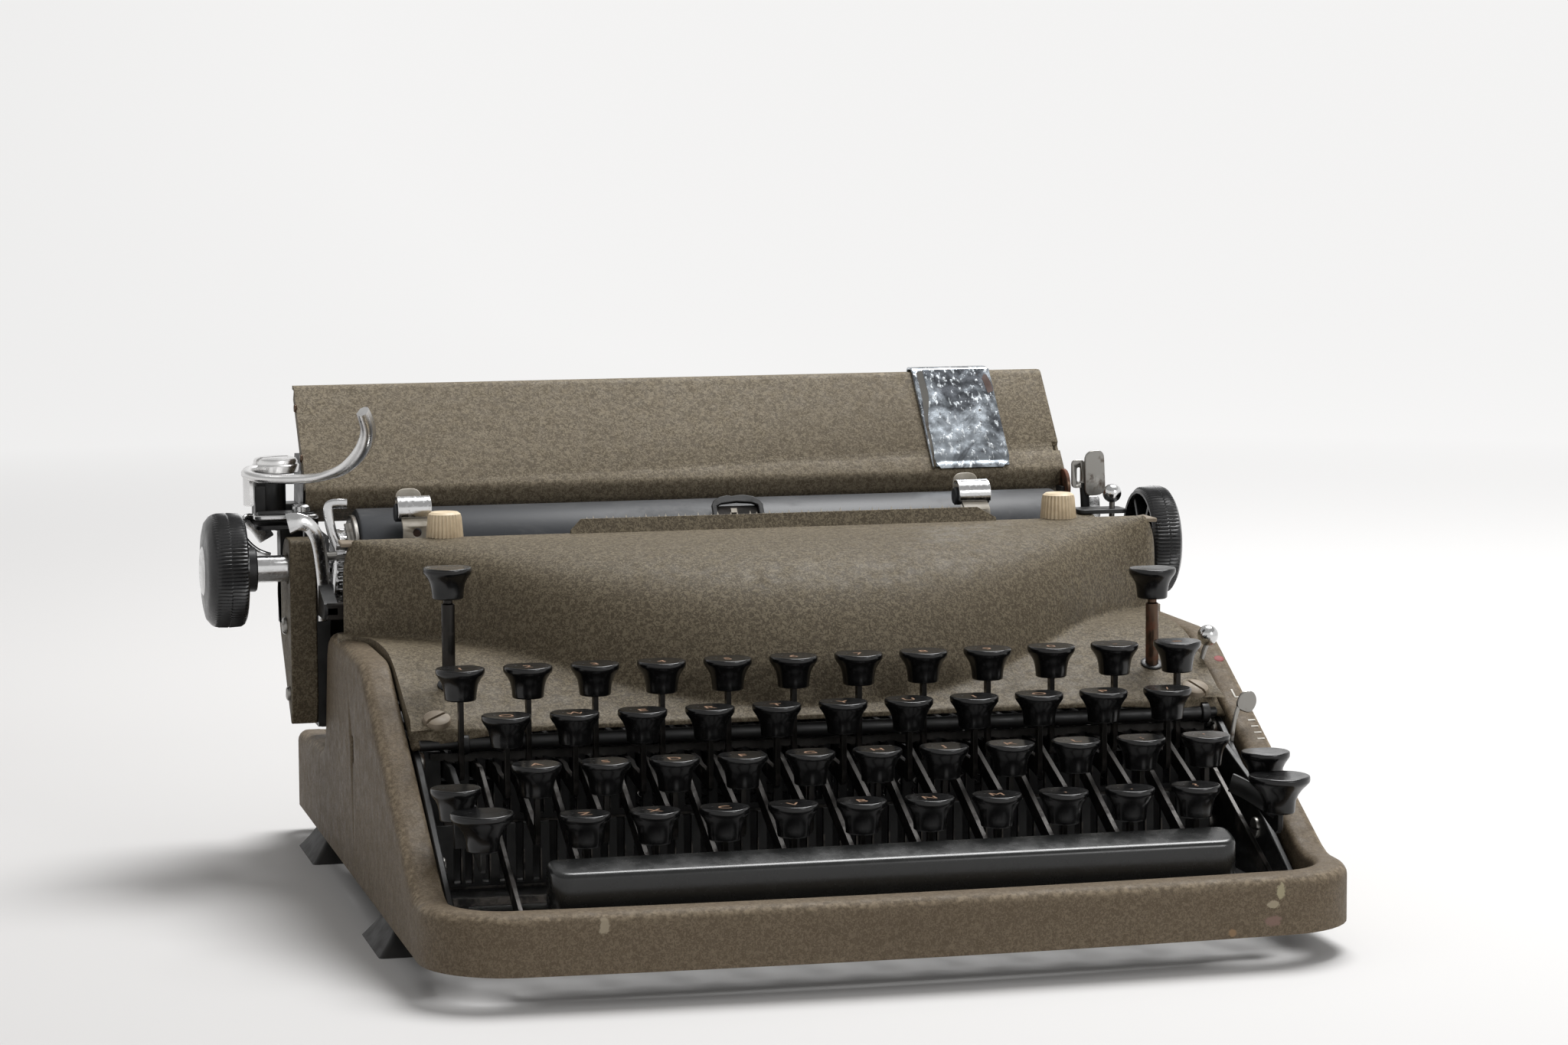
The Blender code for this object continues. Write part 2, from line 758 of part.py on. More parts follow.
def carriage_plate_outline():
    """Outline of a carriage side plate, which reaches round behind the table's turned-in ledge."""
    clear = table_thickness + touch_gap
    bottom = tray_height + beam_thickness
    tail_rear = crease_y + ledge_run + ledge_tail_run + 2 * clear
    tail_height = crease_z - ledge_drop - ledge_tail_drop
    return [(end_cover_front_y, bottom), (carriage_rear_y, bottom),
            (carriage_rear_y, platen_z - platen_radius), table_point(0.75, clear), table_point(0.35, clear),
            (tail_rear, tail_height + 2 * clear), (tail_rear, tail_height - clear),
            (end_cover_front_y, tail_height - clear),
            (end_cover_front_y, rail_front_z + 2 * rail_front_depth), (rail_front_y, rail_front_z + rail_front_depth),
            (rail_front_y, rail_front_z), (end_cover_front_y, rail_front_z - touch_gap)]


def end_cover_outline():
    """Side outline of a carriage end cover, in shares of its depth and height."""
    shares = ((0.0, 1.0), (0.40, 1.0), (0.58, 0.84), (1.0, 0.70), (0.80, 0.48), (0.52, 0.30),
              (0.20, 0.08), (0.08, 0.0), (0.0, 0.14))
    height = end_cover_top - end_cover_bottom
    return [(end_cover_front_y + along * end_cover_depth, end_cover_bottom + up * height) for along, up in shares]


def build_carriage_frame(parent):
    """Everything is in the carriage's own places, with x = 0 at its middle."""
    left = -carriage_half_width
    right = carriage_right()
    bottom = tray_height + beam_thickness
    left_plate = prism(carriage_plate_outline(), "X", left, left + carriage_plate)
    right_plate = prism(carriage_plate_outline(), "X", right - carriage_plate, right)
    left_cover = prism(end_cover_outline(), "X", left - end_cover_thickness, left + embed)
    right_cover = prism(end_cover_outline(), "X", right - embed, right + end_cover_thickness)
    rails = [
        block((left + embed, right - embed), (front_beam_y, front_beam_y + beam_depth),
              (bottom, bottom + carriage_rail_height)),
        block((left + embed, right - embed), (rear_beam_y, rear_beam_y + beam_depth),
              (bottom, bottom + 2 * carriage_rail_height)),
        block((left + embed, right - embed), (rail_front_y, rail_front_y + rail_front_depth),
              (rail_front_z, rail_front_z + rail_front_depth)),
    ]
    bracket_inner = table_offset_x - table_half_width - touch_gap
    bracket = block((lever_pivot_x - bracket_half_width, bracket_inner),
                    (lever_pivot_y - bracket_half_depth, lever_pivot_y + bracket_half_depth),
                    (bracket_bottom, bracket_top))
    post = block((left - end_cover_thickness, bracket_inner),
                 (lever_pivot_y - bracket_half_depth, end_cover_front_y + end_cover_depth * 0.9),
                 (end_cover_bottom + (end_cover_top - end_cover_bottom) / 2, bracket_bottom + embed))
    bore = rod("X", (0, platen_y, platen_z), shaft_radius + shaft_gap,
               left - end_cover_thickness - overrun, right + end_cover_thickness + overrun)
    frame = union(left_plate, right_plate, left_cover, right_cover, *rails, bracket, post)
    return finish_piece("carriage_frame", cut(frame, bore), black_paint, parent)


def sheet_outline(line, thickness):
    """Closed outline of a bent sheet: the line, and the same line set back by the thickness."""
    back = []
    count = len(line)
    for index, place in enumerate(line):
        before = Vector(line[max(index - 1, 0)])
        after = Vector(line[min(index + 1, count - 1)])
        here = Vector(place)
        normals = []
        for start, end in ((before, here), (here, after)):
            if (end - start).length > 0:
                direction = (end - start).normalized()
                normals.append(Vector((direction.y, -direction.x)))
        normal = sum(normals, Vector((0, 0))).normalized()
        stretch = 1 / max(normal.dot(normals[0]), 0.3)
        back.append(tuple(here + normal * thickness * stretch))
    return list(line) + list(reversed(back))


def build_paper_table(parent):
    crease = (crease_y, crease_z)
    top = (crease_y + table_run, crease_z + table_rise)
    line = [(crease_y + ledge_run + ledge_tail_run, crease_z - ledge_drop - ledge_tail_drop),
            (crease_y + ledge_run, crease_z - ledge_drop), crease, top, (top[0] + table_fold, top[1])]
    sheet = prism(sheet_outline(line, table_thickness), "X",
                  table_offset_x - table_half_width, table_offset_x + table_half_width)
    return finish_piece("paper_table", sheet, olive, parent)


def build_paper_guide(parent):
    top = (crease_y + table_run, crease_z + table_rise)
    rise = top[1] + touch_gap + guide_thickness
    reach = top[0] + table_fold + touch_gap
    outline = [table_point(0.05, -touch_gap - guide_thickness), (top[0] - guide_thickness, rise),
               (reach + guide_thickness, rise), (reach + guide_thickness, rise - guide_hook),
               (reach, rise - guide_hook), (reach, top[1] + touch_gap), (top[0], top[1] + touch_gap),
               table_point(0.97, -touch_gap), table_point(0.05, -touch_gap)]
    clip = prism(outline, "X", guide_left, guide_left + guide_width)
    return finish_piece("paper_guide", clip, bright_metal, parent)


def toothed_disc(centre, radius, tooth_depth, teeth, start, end):
    outline = []
    for tooth in range(teeth):
        for turn_share, tooth_radius in ((0.0, radius), (0.55, radius), (0.6, radius - tooth_depth),
                                         (0.95, radius - tooth_depth)):
            angle = 2 * math.pi * (tooth + turn_share) / teeth
            outline.append((centre[0] + tooth_radius * math.cos(angle), centre[1] + tooth_radius * math.sin(angle)))
    return prism(outline, "X", start, end)


def build_platen(parent):
    """The rubber roller with its ratchet wheel and its shaft, which the knobs sit on."""
    left_end = knob_left_outer() + knob_dome + knob_grip + knob_hub_length - knob_bore_depth + touch_gap
    right_end = knob_right_outer() - knob_dome - touch_gap
    chamfer = platen_radius * 0.03
    profile = [(left_end, 0), (left_end, shaft_radius), (platen_left, shaft_radius),
               (platen_left, platen_radius - chamfer), (platen_left + chamfer, platen_radius),
               (platen_right - chamfer, platen_radius), (platen_right, platen_radius - chamfer),
               (platen_right, shaft_radius), (right_end, shaft_radius), (right_end, 0)]
    roller = turned(profile, 24, "X", (0, platen_y, platen_z))
    ratchet = toothed_disc((platen_y, platen_z), ratchet_radius, ratchet_tooth_depth, ratchet_teeth,
                           ratchet_left, ratchet_left + ratchet_thickness)
    pivot = (0, platen_y, platen_z)
    return finish_piece("platen", union(roller, ratchet), rubber, parent, pivot)


def build_left_knob(parent):
    outer = knob_left_outer()
    grip_start = outer + knob_dome
    hub_start = grip_start + knob_grip
    hub_end = hub_start + knob_hub_length
    bore = shaft_radius + running_gap
    profile = [(outer, 0), (outer, knob_radius * 0.70), (outer + knob_dome * 0.45, knob_radius * 0.92),
               (grip_start, knob_radius), (hub_start, knob_radius), (hub_start, knob_hub_radius),
               (hub_end, knob_hub_radius), (hub_end, bore), (hub_end - knob_bore_depth, bore),
               (hub_end - knob_bore_depth, 0)]
    mesh = turned(profile, knob_sides, "X", (0, platen_y, platen_z))
    return finish_piece("platen_knob_left", mesh, black_plastic, parent, (0, platen_y, platen_z))


def build_right_knob(parent):
    """A cup that opens towards the carriage, with a hub round the shaft."""
    outer = knob_right_outer()
    face = outer - knob_dome
    grip_end = outer - knob_grip
    bore = shaft_radius + running_gap
    profile = [(outer, 0), (outer, knob_radius * 0.88), (outer - knob_dome * 0.45, knob_radius),
               (grip_end, knob_radius), (grip_end, knob_radius - knob_wall), (face - knob_wall / 2, knob_radius - knob_wall),
               (face - knob_wall / 2, knob_hub_radius), (grip_end - knob_wall, knob_hub_radius),
               (grip_end - knob_wall, bore), (face, bore), (face, 0)]
    mesh = turned(profile, knob_sides, "X", (0, platen_y, platen_z))
    return finish_piece("platen_knob_right", mesh, black_plastic, parent, (0, platen_y, platen_z))


def return_arm_line():
    """Centre line of the return lever's arm from its hub, in shares of its reach and rise."""
    shares = ((-0.14, 0.0, 0.0), (-0.20, -0.10, 0.0), (-0.15, -0.24, 0.0), (0.0, -0.32, 0.0),
              (0.24, -0.40, 0.03), (0.42, -0.55, 0.20), (0.52, -0.70, 0.48), (0.54, -0.82, 0.78),
              (0.48, -0.92, 1.0))
    base = bracket_top + touch_gap + return_hub_height / 2
    return [Vector((lever_pivot_x + x * return_arm_reach, lever_pivot_y + y * return_arm_reach,
                    base + z * return_arm_rise)) for x, y, z in shares]


def tube(line, radius, sides):
    """A closed tube along a line of points."""
    points = []
    for index, place in enumerate(line):
        before = line[max(index - 1, 0)]
        after = line[min(index + 1, len(line) - 1)]
        direction = (after - before).normalized()
        first = direction.cross(Vector((0, 0, 1))).normalized()
        second = direction.cross(first)
        for side in range(sides):
            angle = 2 * math.pi * side / sides
            points.append(place + (first * math.cos(angle) + second * math.sin(angle)) * radius)
    faces = [list(range(sides)), list(range((len(line) - 1) * sides, len(line) * sides))]
    for ring in range(len(line) - 1):
        for side in range(sides):
            following = (side + 1) % sides
            low = ring * sides
            faces.append([low + side, low + following, low + sides + following, low + sides + side])
    return mesh_from(points, faces)


def build_return_lever(parent):
    base = bracket_top + touch_gap
    hub_top = base + return_hub_height
    profile = [(base, 0), (base, return_hub_radius), (hub_top, return_hub_radius),
               (hub_top, return_screw_radius), (hub_top + return_screw_height / 2, return_screw_radius),
               (hub_top + return_screw_height, return_screw_radius * 0.7), (hub_top + return_screw_height, 0)]
    hub = turned(profile, 16, "Z", (lever_pivot_x, lever_pivot_y, 0))
    arm = tube(return_arm_line(), return_arm_radius * 0.8, 8)
    pivot = (lever_pivot_x, lever_pivot_y, bracket_top)
    return finish_piece("carriage_return_lever", union(hub, arm), bright_metal, parent, pivot)


def build_paper_finger(name, parent, x):
    """A sprung strip that stands on the front rail and holds a roller against the platen."""
    foot_z = rail_front_z + rail_front_depth + touch_gap
    front = rail_front_y + finger_thickness / 2
    reach = platen_radius + finger_roller_radius + running_gap
    roller_y = platen_y + reach * math.cos(finger_roller_angle)
    roller_z = platen_z + reach * math.sin(finger_roller_angle)
    top = foot_z + finger_rise
    inner = front + finger_thickness
    outline = [(rail_front_y, foot_z), (rail_front_y + rail_front_depth, foot_z),
               (rail_front_y + rail_front_depth, foot_z + finger_base_height),
               (inner, foot_z + finger_base_height + finger_thickness),
               (inner, roller_z - finger_roller_radius), (roller_y, roller_z - finger_roller_radius / 2),
               (roller_y, roller_z + finger_roller_radius / 2), (inner + finger_thickness, top),
               (front + finger_thickness, top), (front, roller_z), (front, foot_z + finger_base_height)]
    half = finger_width / 2
    strip = prism(outline, "X", x - half, x + half)
    roller = rod("X", (x, roller_y, roller_z), finger_roller_radius,
                 -finger_roller_width / 2, finger_roller_width / 2)
    pivot = (x, rail_front_y, foot_z)
    return finish_piece(name, union(strip, roller), bright_metal, parent, pivot)


def make_empty(name, parent, location):
    empty = bpy.data.objects.new(name, None)
    bpy.context.scene.collection.objects.link(empty)
    empty.parent = parent
    empty.location = location
    return empty


def build_typewriter():
    clear_scene()
    middle_x = carriage_x + (knob_left_outer() + knob_right_outer()) / 2
    middle_y = (casing_depth - front_bow) / 2
    machine = make_empty("machine", None, (-middle_x, -middle_y, 0))
    build_casing(machine)
    build_chassis(machine)
    build_cover(machine)
    build_keys(machine)
    build_shift_bail(machine)
    build_space_bar(machine)
    build_tall_key("tabulator_key", machine, tall_left_x, tall_left_y, tall_left_top)
    build_tall_key("margin_release_key", machine, tall_right_x, tall_right_y, tall_right_top)
    carriage = make_empty("carriage", machine, (carriage_x, 0, 0))
    build_carriage_frame(carriage)
    build_paper_table(carriage)
    build_paper_guide(carriage)
    build_platen(carriage)
    build_left_knob(carriage)
    build_right_knob(carriage)
    build_return_lever(carriage)
    build_paper_finger("paper_finger_left", carriage, finger_left_x)
    build_paper_finger("paper_finger_right", carriage, finger_right_x)


build_typewriter()
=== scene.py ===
"""Looks of the portable typewriter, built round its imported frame.

Places are written in millimetres in the machine's own axes: x = 0 on the casing's middle plane,
y = 0 at the ends of the front rail and z = 0 on the table. to_row() puts them in the row's frame.
"""

import math

import bmesh
import bpy
from mathutils import Matrix, Vector


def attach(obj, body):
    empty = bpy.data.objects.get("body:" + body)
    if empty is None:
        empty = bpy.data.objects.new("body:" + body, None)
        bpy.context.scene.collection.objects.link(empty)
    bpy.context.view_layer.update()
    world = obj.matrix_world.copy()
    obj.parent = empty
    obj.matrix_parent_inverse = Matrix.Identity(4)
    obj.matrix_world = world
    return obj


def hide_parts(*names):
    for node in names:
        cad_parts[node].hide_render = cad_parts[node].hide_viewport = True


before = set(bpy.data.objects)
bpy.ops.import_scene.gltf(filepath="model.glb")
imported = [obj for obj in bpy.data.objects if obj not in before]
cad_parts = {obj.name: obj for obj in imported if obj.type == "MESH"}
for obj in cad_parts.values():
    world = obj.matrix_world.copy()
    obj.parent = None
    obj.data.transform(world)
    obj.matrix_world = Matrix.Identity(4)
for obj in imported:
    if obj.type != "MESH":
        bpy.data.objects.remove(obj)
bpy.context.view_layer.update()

MM = 0.001
MACHINE_OFFSET = Vector((11.35, -139.0, 0.0))

# Camera, fitted to the photograph
IMAGE_WIDTH = 2048
SENSOR_WIDTH = 36
LENS_PIXELS = 5478.6
CAMERA_YAW = 0.236834
CAMERA_PITCH = 0.105679
CAMERA_ROLL = -0.005644
CAMERA_PLACE = (-289.33, -1052.62, 239.75)

# Casing
CASING_HALF = 129.0
CASING_DEPTH = 281.0
CASING_BOTTOM = 8.5
FRONT_RAIL_TOP = 24.5
FRONT_RAIL_WIDTH = 10.7
SIDE_RAIL_WIDTH = 9.0
SHOULDER_TOP = 74.7
SLOPE_FRONT_Y = 34
SHOULDER_Y = 131
TRAY_TOP = 36.0
FRONT_RADIUS = 25.0
REAR_RADIUS = 4.0
FRONT_BOW = 3.0

# Keys
PITCH = 19.05
KEYBOARD_LEFT = -106.3
STAGGER = (0.0, 0.5, 0.75, 1.25)
FIRST_ROW_Y = 90.0
FIRST_ROW_TOP = 77.2
ROW_DEPTH = 19.3
ROW_DROP = 10.65
FULCRUM_Y = 190.0
FULCRUM_Z = 47.5
SPACE_BAR_ARMS = (-101.54, 108.01)
SHIFT_ARMS = (-109.5, 114.8)
SHIFT_LOCKS = (-114.2, 116.0)
ROWS = (
    (("1", "1"), ("2", "2"), ("3", "3"), ("4", "4"), ("5", "5"), ("6", "6"), ("7", "7"), ("8", "8"),
     ("9", "9"), ("0", "0"), ("hyphen", "-"), ("equals", "=")),
    (("q", "Q"), ("w", "W"), ("e", "E"), ("r", "R"), ("t", "T"), ("y", "Y"), ("u", "U"), ("i", "I"),
     ("o", "O"), ("p", "P"), ("half", "/")),
    (("a", "A"), ("s", "S"), ("d", "D"), ("f", "F"), ("g", "G"), ("h", "H"), ("j", "J"), ("k", "K"),
     ("l", "L"), ("semicolon", ";"), ("quote", "'")),
    (("z", "Z"), ("x", "X"), ("c", "C"), ("v", "V"), ("b", "B"), ("n", "N"), ("m", "M"),
     ("comma", ","), ("period", "."), ("slash", "?")),
)

# Carriage
PLATEN_Y = 214.5
PLATEN_Z = 92.2
PLATEN_RADIUS = 17.5
PLATEN_CENTRE = (0, PLATEN_Y, PLATEN_Z)
CARRIAGE_X = -12.5


def to_row(point):
    return (Vector(point) + MACHINE_OFFSET) * MM


# Shapes are (points, faces) pairs of closed shells, in millimetres.

def join(*shapes):
    points = []
    faces = []
    for shape_points, shape_faces in shapes:
        start = len(points)
        points += [Vector(point) for point in shape_points]
        faces += [[index + start for index in face] for face in shape_faces]
    return points, faces


def moved(shape, offset):
    return [Vector(point) + Vector(offset) for point in shape[0]], shape[1]


def turned_about(shape, axis, degrees, centre=(0, 0, 0)):
    rotation = Matrix.Rotation(math.radians(degrees), 3, axis)
    middle = Vector(centre)
    return [middle + rotation @ (Vector(point) - middle) for point in shape[0]], shape[1]


def tube_faces(count, rings):
    """Faces between rings of count points that follow one another, and a flat face at either end."""
    last = (rings - 1) * count
    faces = [list(range(count)), list(range(last, last + count))]
    for low in range(0, last, count):
        for index in range(count):
            after = (index + 1) % count
            faces.append([low + index, low + after, low + count + after, low + count + index])
    return faces


def prism(outline, axis, start, end):
    """A flat outline drawn out along an axis. Outlines are (y, z) for X, (x, z) for Y, (x, y) for Z."""
    def place(point, along):
        if axis == "X":
            return (along, point[0], point[1])
        if axis == "Y":
            return (point[0], along, point[1])
        return (point[0], point[1], along)

    points = [place(point, start) for point in outline] + [place(point, end) for point in outline]
    return points, tube_faces(len(outline), 2)


def block(x_range, y_range, z_range):
    outline = [(x_range[0], y_range[0]), (x_range[1], y_range[0]),
               (x_range[1], y_range[1]), (x_range[0], y_range[1])]
    return prism(outline, "Z", z_range[0], z_range[1])


def lathe(profile, sides, axis, centre, flutes=None):
    """A profile of (along, radius) points turned about an axis. A flute is cut where its share is set.

    flutes is (count, depth, set of profile indexes that are fluted).
    """
    points = []
    faces = []

    def place(along, radius, angle):
        first = radius * math.cos(angle)
        second = radius * math.sin(angle)
        if axis == "X":
            return (centre[0] + along, centre[1] + first, centre[2] + second)
        if axis == "Y":
            return (centre[0] + first, centre[1] + along, centre[2] + second)
        return (centre[0] + first, centre[1] + second, centre[2] + along)

    rings = []
    for index, (along, radius) in enumerate(profile):
        if radius == 0:
            rings.append([len(points)])
            points.append(place(along, 0, 0))
            continue
        ring = []
        for side in range(sides):
            angle = 2 * math.pi * side / sides
            size = radius
            if flutes is not None and index in flutes[2]:
                size -= flutes[1] * (0.5 - 0.5 * math.cos(angle * flutes[0]))
            ring.append(len(points))
            points.append(place(along, size, angle))
        rings.append(ring)
    for low, high in zip(rings, rings[1:]):
        for side in range(sides):
            after = (side + 1) % sides
            if len(low) == 1 and len(high) == 1:
                continue
            if len(low) == 1:
                faces.append([low[0], high[after], high[side]])
            elif len(high) == 1:
                faces.append([low[side], low[after], high[0]])
            else:
                faces.append([low[side], low[after], high[after], high[side]])
    return points, faces


def ball(centre, radius, sides=24):
    steps = sides // 2
    profile = []
    for step in range(steps + 1):
        angle = math.pi * step / steps
        size = radius * math.sin(angle)
        if step in (0, steps):
            size = 0
        profile.append((-radius * math.cos(angle), size))
    return lathe(profile, sides, "Z", centre)


def rod(axis, centre, radius, start, end, sides=20, chamfer=0.25):
    profile = [(start, 0), (start, radius - chamfer), (start + chamfer, radius),
               (end - chamfer, radius), (end, radius - chamfer), (end, 0)]
    return lathe(profile, sides, axis, centre)


def smooth_line(line, steps):
    """A Catmull-Rom curve through the line's points."""
    places = [Vector(point) for point in line]
    result = []
    for index in range(len(places) - 1):
        before = places[max(index - 1, 0)]
        start = places[index]
        end = places[index + 1]
        after = places[min(index + 2, len(places) - 1)]
        for step in range(steps):
            share = step / steps
            square = share * share
            cube = square * share
            result.append(0.5 * (2 * start + (end - before) * share
                                 + (2 * before - 5 * start + 4 * end - after) * square
                                 + (3 * start - before - 3 * end + after) * cube))
    result.append(places[-1])
    return result


def sweep(section, line, up, scales=None):
    """A closed section of (sideways, upwards) points carried along a line of points."""
    places = [Vector(point) for point in line]
    points = []
    above = Vector(up).normalized()
    for index, place in enumerate(places):
        ahead = (places[min(index + 1, len(places) - 1)] - places[max(index - 1, 0)]).normalized()
        side = ahead.cross(above)
        if side.length < 0.05:
            side = ahead.cross(Vector((0, 1, 0)))
        side.normalize()
        above = side.cross(ahead).normalized()
        scale = 1.0 if scales is None else scales[index]
        for across, upwards in section:
            points.append(place + side * across * scale + above * upwards * scale)
    return points, tube_faces(len(section), len(places))


def round_section(radius, sides=10):
    return [(radius * math.cos(2 * math.pi * side / sides), radius * math.sin(2 * math.pi * side / sides))
            for side in range(sides)]


def flat_section(width, thickness, radius=0.4):
    half_width = width / 2
    half_height = thickness / 2
    return [(-half_width + radius, -half_height), (half_width - radius, -half_height),
            (half_width, -half_height + radius), (half_width, half_height - radius),
            (half_width - radius, half_height), (-half_width + radius, half_height),
            (-half_width, half_height - radius), (-half_width, -half_height + radius)]


def wire(line, radius, sides=8, steps=5):
    return sweep(round_section(radius, sides), smooth_line(line, steps), (0.13, 0.21, 0.97))


def coil(start, end, radius, wire_radius, turns, sides=6):
    """A coil spring between two points."""
    first = Vector(start)
    last = Vector(end)
    along = (last - first).normalized()
    helper = Vector((0, 0, 1)) if abs(along.z) < 0.8 else Vector((1, 0, 0))
    side = along.cross(helper).normalized()
    over = side.cross(along)
    line = []
    steps = turns * 10
    for step in range(steps + 1):
        angle = 2 * math.pi * turns * step / steps
        line.append(first + (last - first) * step / steps
                    + (side * math.cos(angle) + over * math.sin(angle)) * radius)
    return sweep(round_section(wire_radius, sides), line, along)


def rounded_corner(before, here, after, reach, steps):
    """The points of a curve that rounds the corner between two neighbours."""
    to_before = before - here
    to_after = after - here
    size = min(reach, to_before.length * 0.49, to_after.length * 0.49)
    start = here + to_before.normalized() * size
    end = here + to_after.normalized() * size
    result = []
    for step in range(steps + 1):
        share = step / steps
        result.append((1 - share) ** 2 * start + 2 * share * (1 - share) * here + share ** 2 * end)
    return result


def rounded_outline(corners, radii, steps=5):
    """A closed outline whose corners are rounded, all by one radius or each by its own."""
    places = [Vector(corner) for corner in corners]
    result = []
    for index, here in enumerate(places):
        radius = radii[index] if isinstance(radii, (list, tuple)) else radii
        after = places[(index + 1) % len(places)]
        result += [tuple(point) for point in rounded_corner(places[index - 1], here, after, radius, steps)]
    return result


def rounded_line(line, reach, steps=4):
    """An open line whose inner corners are rounded."""
    places = [Vector(point) for point in line]
    result = [places[0]]
    for before, here, after in zip(places, places[1:], places[2:]):
        result += rounded_corner(before, here, after, reach, steps)
    result.append(places[-1])
    return result


def sheet_outline(line, thickness):
    """The closed outline of a bent sheet of even thickness, behind its line of 2-D points."""
    places = [Vector(point) for point in line]
    back = []
    for index, place in enumerate(places):
        before = places[max(index - 1, 0)]
        after = places[min(index + 1, len(places) - 1)]
        direction = (after - before).normalized()
        back.append(place + Vector((direction.y, -direction.x)) * thickness)
    return [tuple(place) for place in places + back[::-1]]


def wheel_outline(centre, teeth, tooth):
    """The outline of a toothed wheel. A tooth is a list of (share of the pitch, radius)."""
    outline = []
    for index in range(teeth):
        for share, radius in tooth:
            angle = 2 * math.pi * (index + share) / teeth
            outline.append((centre[0] + radius * math.cos(angle), centre[1] + radius * math.sin(angle)))
    return outline


# Materials

def new_material(name, base, roughness=0.5, metallic=0.0, coat=0.0):
    material = bpy.data.materials.new(name)
    material.use_nodes = True
    shader = material.node_tree.nodes["Principled BSDF"]
    shader.inputs["Base Color"].default_value = (*base, 1)
    shader.inputs["Roughness"].default_value = roughness
    shader.inputs["Metallic"].default_value = metallic
    shader.inputs["Coat Weight"].default_value = coat
    return material, material.node_tree, shader


def node(tree, kind, **values):
    made = tree.nodes.new(kind)
    for key, value in values.items():
        setattr(made, key, value)
    return made


def noise(tree, scale, detail=4.0, roughness=0.55, distortion=0.0, stretch=None):
    """A noise texture on the object's own places, in features per metre."""
    places = tree.nodes.get("places")
    if places is None:
        places = node(tree, "ShaderNodeTexCoord", name="places")
    source = places.outputs["Object"]
    if stretch is not None:
        mapping = node(tree, "ShaderNodeMapping")
        mapping.inputs["Scale"].default_value = stretch
        tree.links.new(source, mapping.inputs["Vector"])
        source = mapping.outputs["Vector"]
    texture = node(tree, "ShaderNodeTexNoise")
    texture.inputs["Scale"].default_value = scale
    texture.inputs["Detail"].default_value = detail
    texture.inputs["Roughness"].default_value = roughness
    texture.inputs["Distortion"].default_value = distortion
    tree.links.new(source, texture.inputs["Vector"])
    return texture.outputs["Fac"]


def ramp(tree, source, stops):
    """A colour ramp. Each stop is (place, value or colour)."""
    made = node(tree, "ShaderNodeValToRGB")
    elements = made.color_ramp.elements
    while len(elements) < len(stops):
        elements.new(0.5)
    for element, (place, value) in zip(elements, stops):
        element.position = place
        colour = (value, value, value) if isinstance(value, (int, float)) else value
        element.color = (*colour, 1)
    tree.links.new(source, made.inputs["Fac"])
    return made.outputs["Color"]


def mix(tree, factor, first, second, blend="MIX"):
    made = node(tree, "ShaderNodeMix", data_type="RGBA", blend_type=blend)
    sockets = {"Factor": made.inputs[0], "A": made.inputs[6], "B": made.inputs[7]}
    for key, value in (("Factor", factor), ("A", first), ("B", second)):
        if isinstance(value, bpy.types.NodeSocket):
            tree.links.new(value, sockets[key])
        elif key == "Factor":
            sockets[key].default_value = value
        else:
            sockets[key].default_value = (*value, 1)
    return made.outputs[2]


def maths(tree, operation, first, second):
    """A math node on two values, each a number or the output of another node."""
    made = node(tree, "ShaderNodeMath", operation=operation)
    for index, value in enumerate((first, second)):
        if isinstance(value, bpy.types.NodeSocket):
            tree.links.new(value, made.inputs[index])
        else:
            made.inputs[index].default_value = value
    return made.outputs[0]


def multiply(tree, first, second):
    return maths(tree, "MULTIPLY", first, second)


def map_range(tree, source, low, high, top=1.0):
    """Maps a value so that low becomes 0 and high becomes top, and holds it there beyond them."""
    made = node(tree, "ShaderNodeMapRange")
    made.inputs["From Min"].default_value = low
    made.inputs["From Max"].default_value = high
    made.inputs["To Max"].default_value = top
    tree.links.new(source, made.inputs["Value"])
    return made.outputs["Result"]


def attribute(tree, name):
    return node(tree, "ShaderNodeAttribute", attribute_name=name).outputs["Fac"]


def bump(tree, shader, height, strength, distance):
    made = node(tree, "ShaderNodeBump")
    made.inputs["Strength"].default_value = strength
    made.inputs["Distance"].default_value = distance
    tree.links.new(height, made.inputs["Height"])
    tree.links.new(made.outputs["Normal"], shader.inputs["Normal"])


def paint_chip(tree, paint, place, reach, colour):
    """A ragged chip in the paint round a place, both in machine millimetres."""
    offset = node(tree, "ShaderNodeVectorMath", operation="SUBTRACT")
    tree.links.new(tree.nodes["places"].outputs["Object"], offset.inputs[0])
    offset.inputs[1].default_value = to_row(place)
    scaled = node(tree, "ShaderNodeVectorMath", operation="DIVIDE")
    tree.links.new(offset.outputs["Vector"], scaled.inputs[0])
    scaled.inputs[1].default_value = Vector(reach) * MM
    length = node(tree, "ShaderNodeVectorMath", operation="LENGTH")
    tree.links.new(scaled.outputs["Vector"], length.inputs[0])
    ragged = maths(tree, "ADD", length.outputs["Value"], noise(tree, 420.0, 4.0, 0.7, 0.5))
    mask = ramp(tree, multiply(tree, ragged, 0.5), [(0.42, 0.85), (0.50, 0.0)])
    return mix(tree, mask, paint, colour)


# Chips in the front rail's paint: place, reach on either side and colour
RAIL_CHIPS = (
    ((-84.0, -1.5, 21.0), (2.8, 12.0, 5.4), (0.34, 0.29, 0.21)),
    ((102.2, 0.5, 20.6), (3.2, 12.0, 4.6), (0.38, 0.34, 0.22)),
    ((100.0, 0.5, 17.4), (4.0, 12.0, 2.4), (0.36, 0.31, 0.22)),
    ((99.5, 0.5, 12.6), (5.6, 12.0, 3.0), (0.22, 0.14, 0.115)),
    ((88.0, 0.0, 10.0), (3.0, 12.0, 2.4), (0.28, 0.18, 0.10)),
)


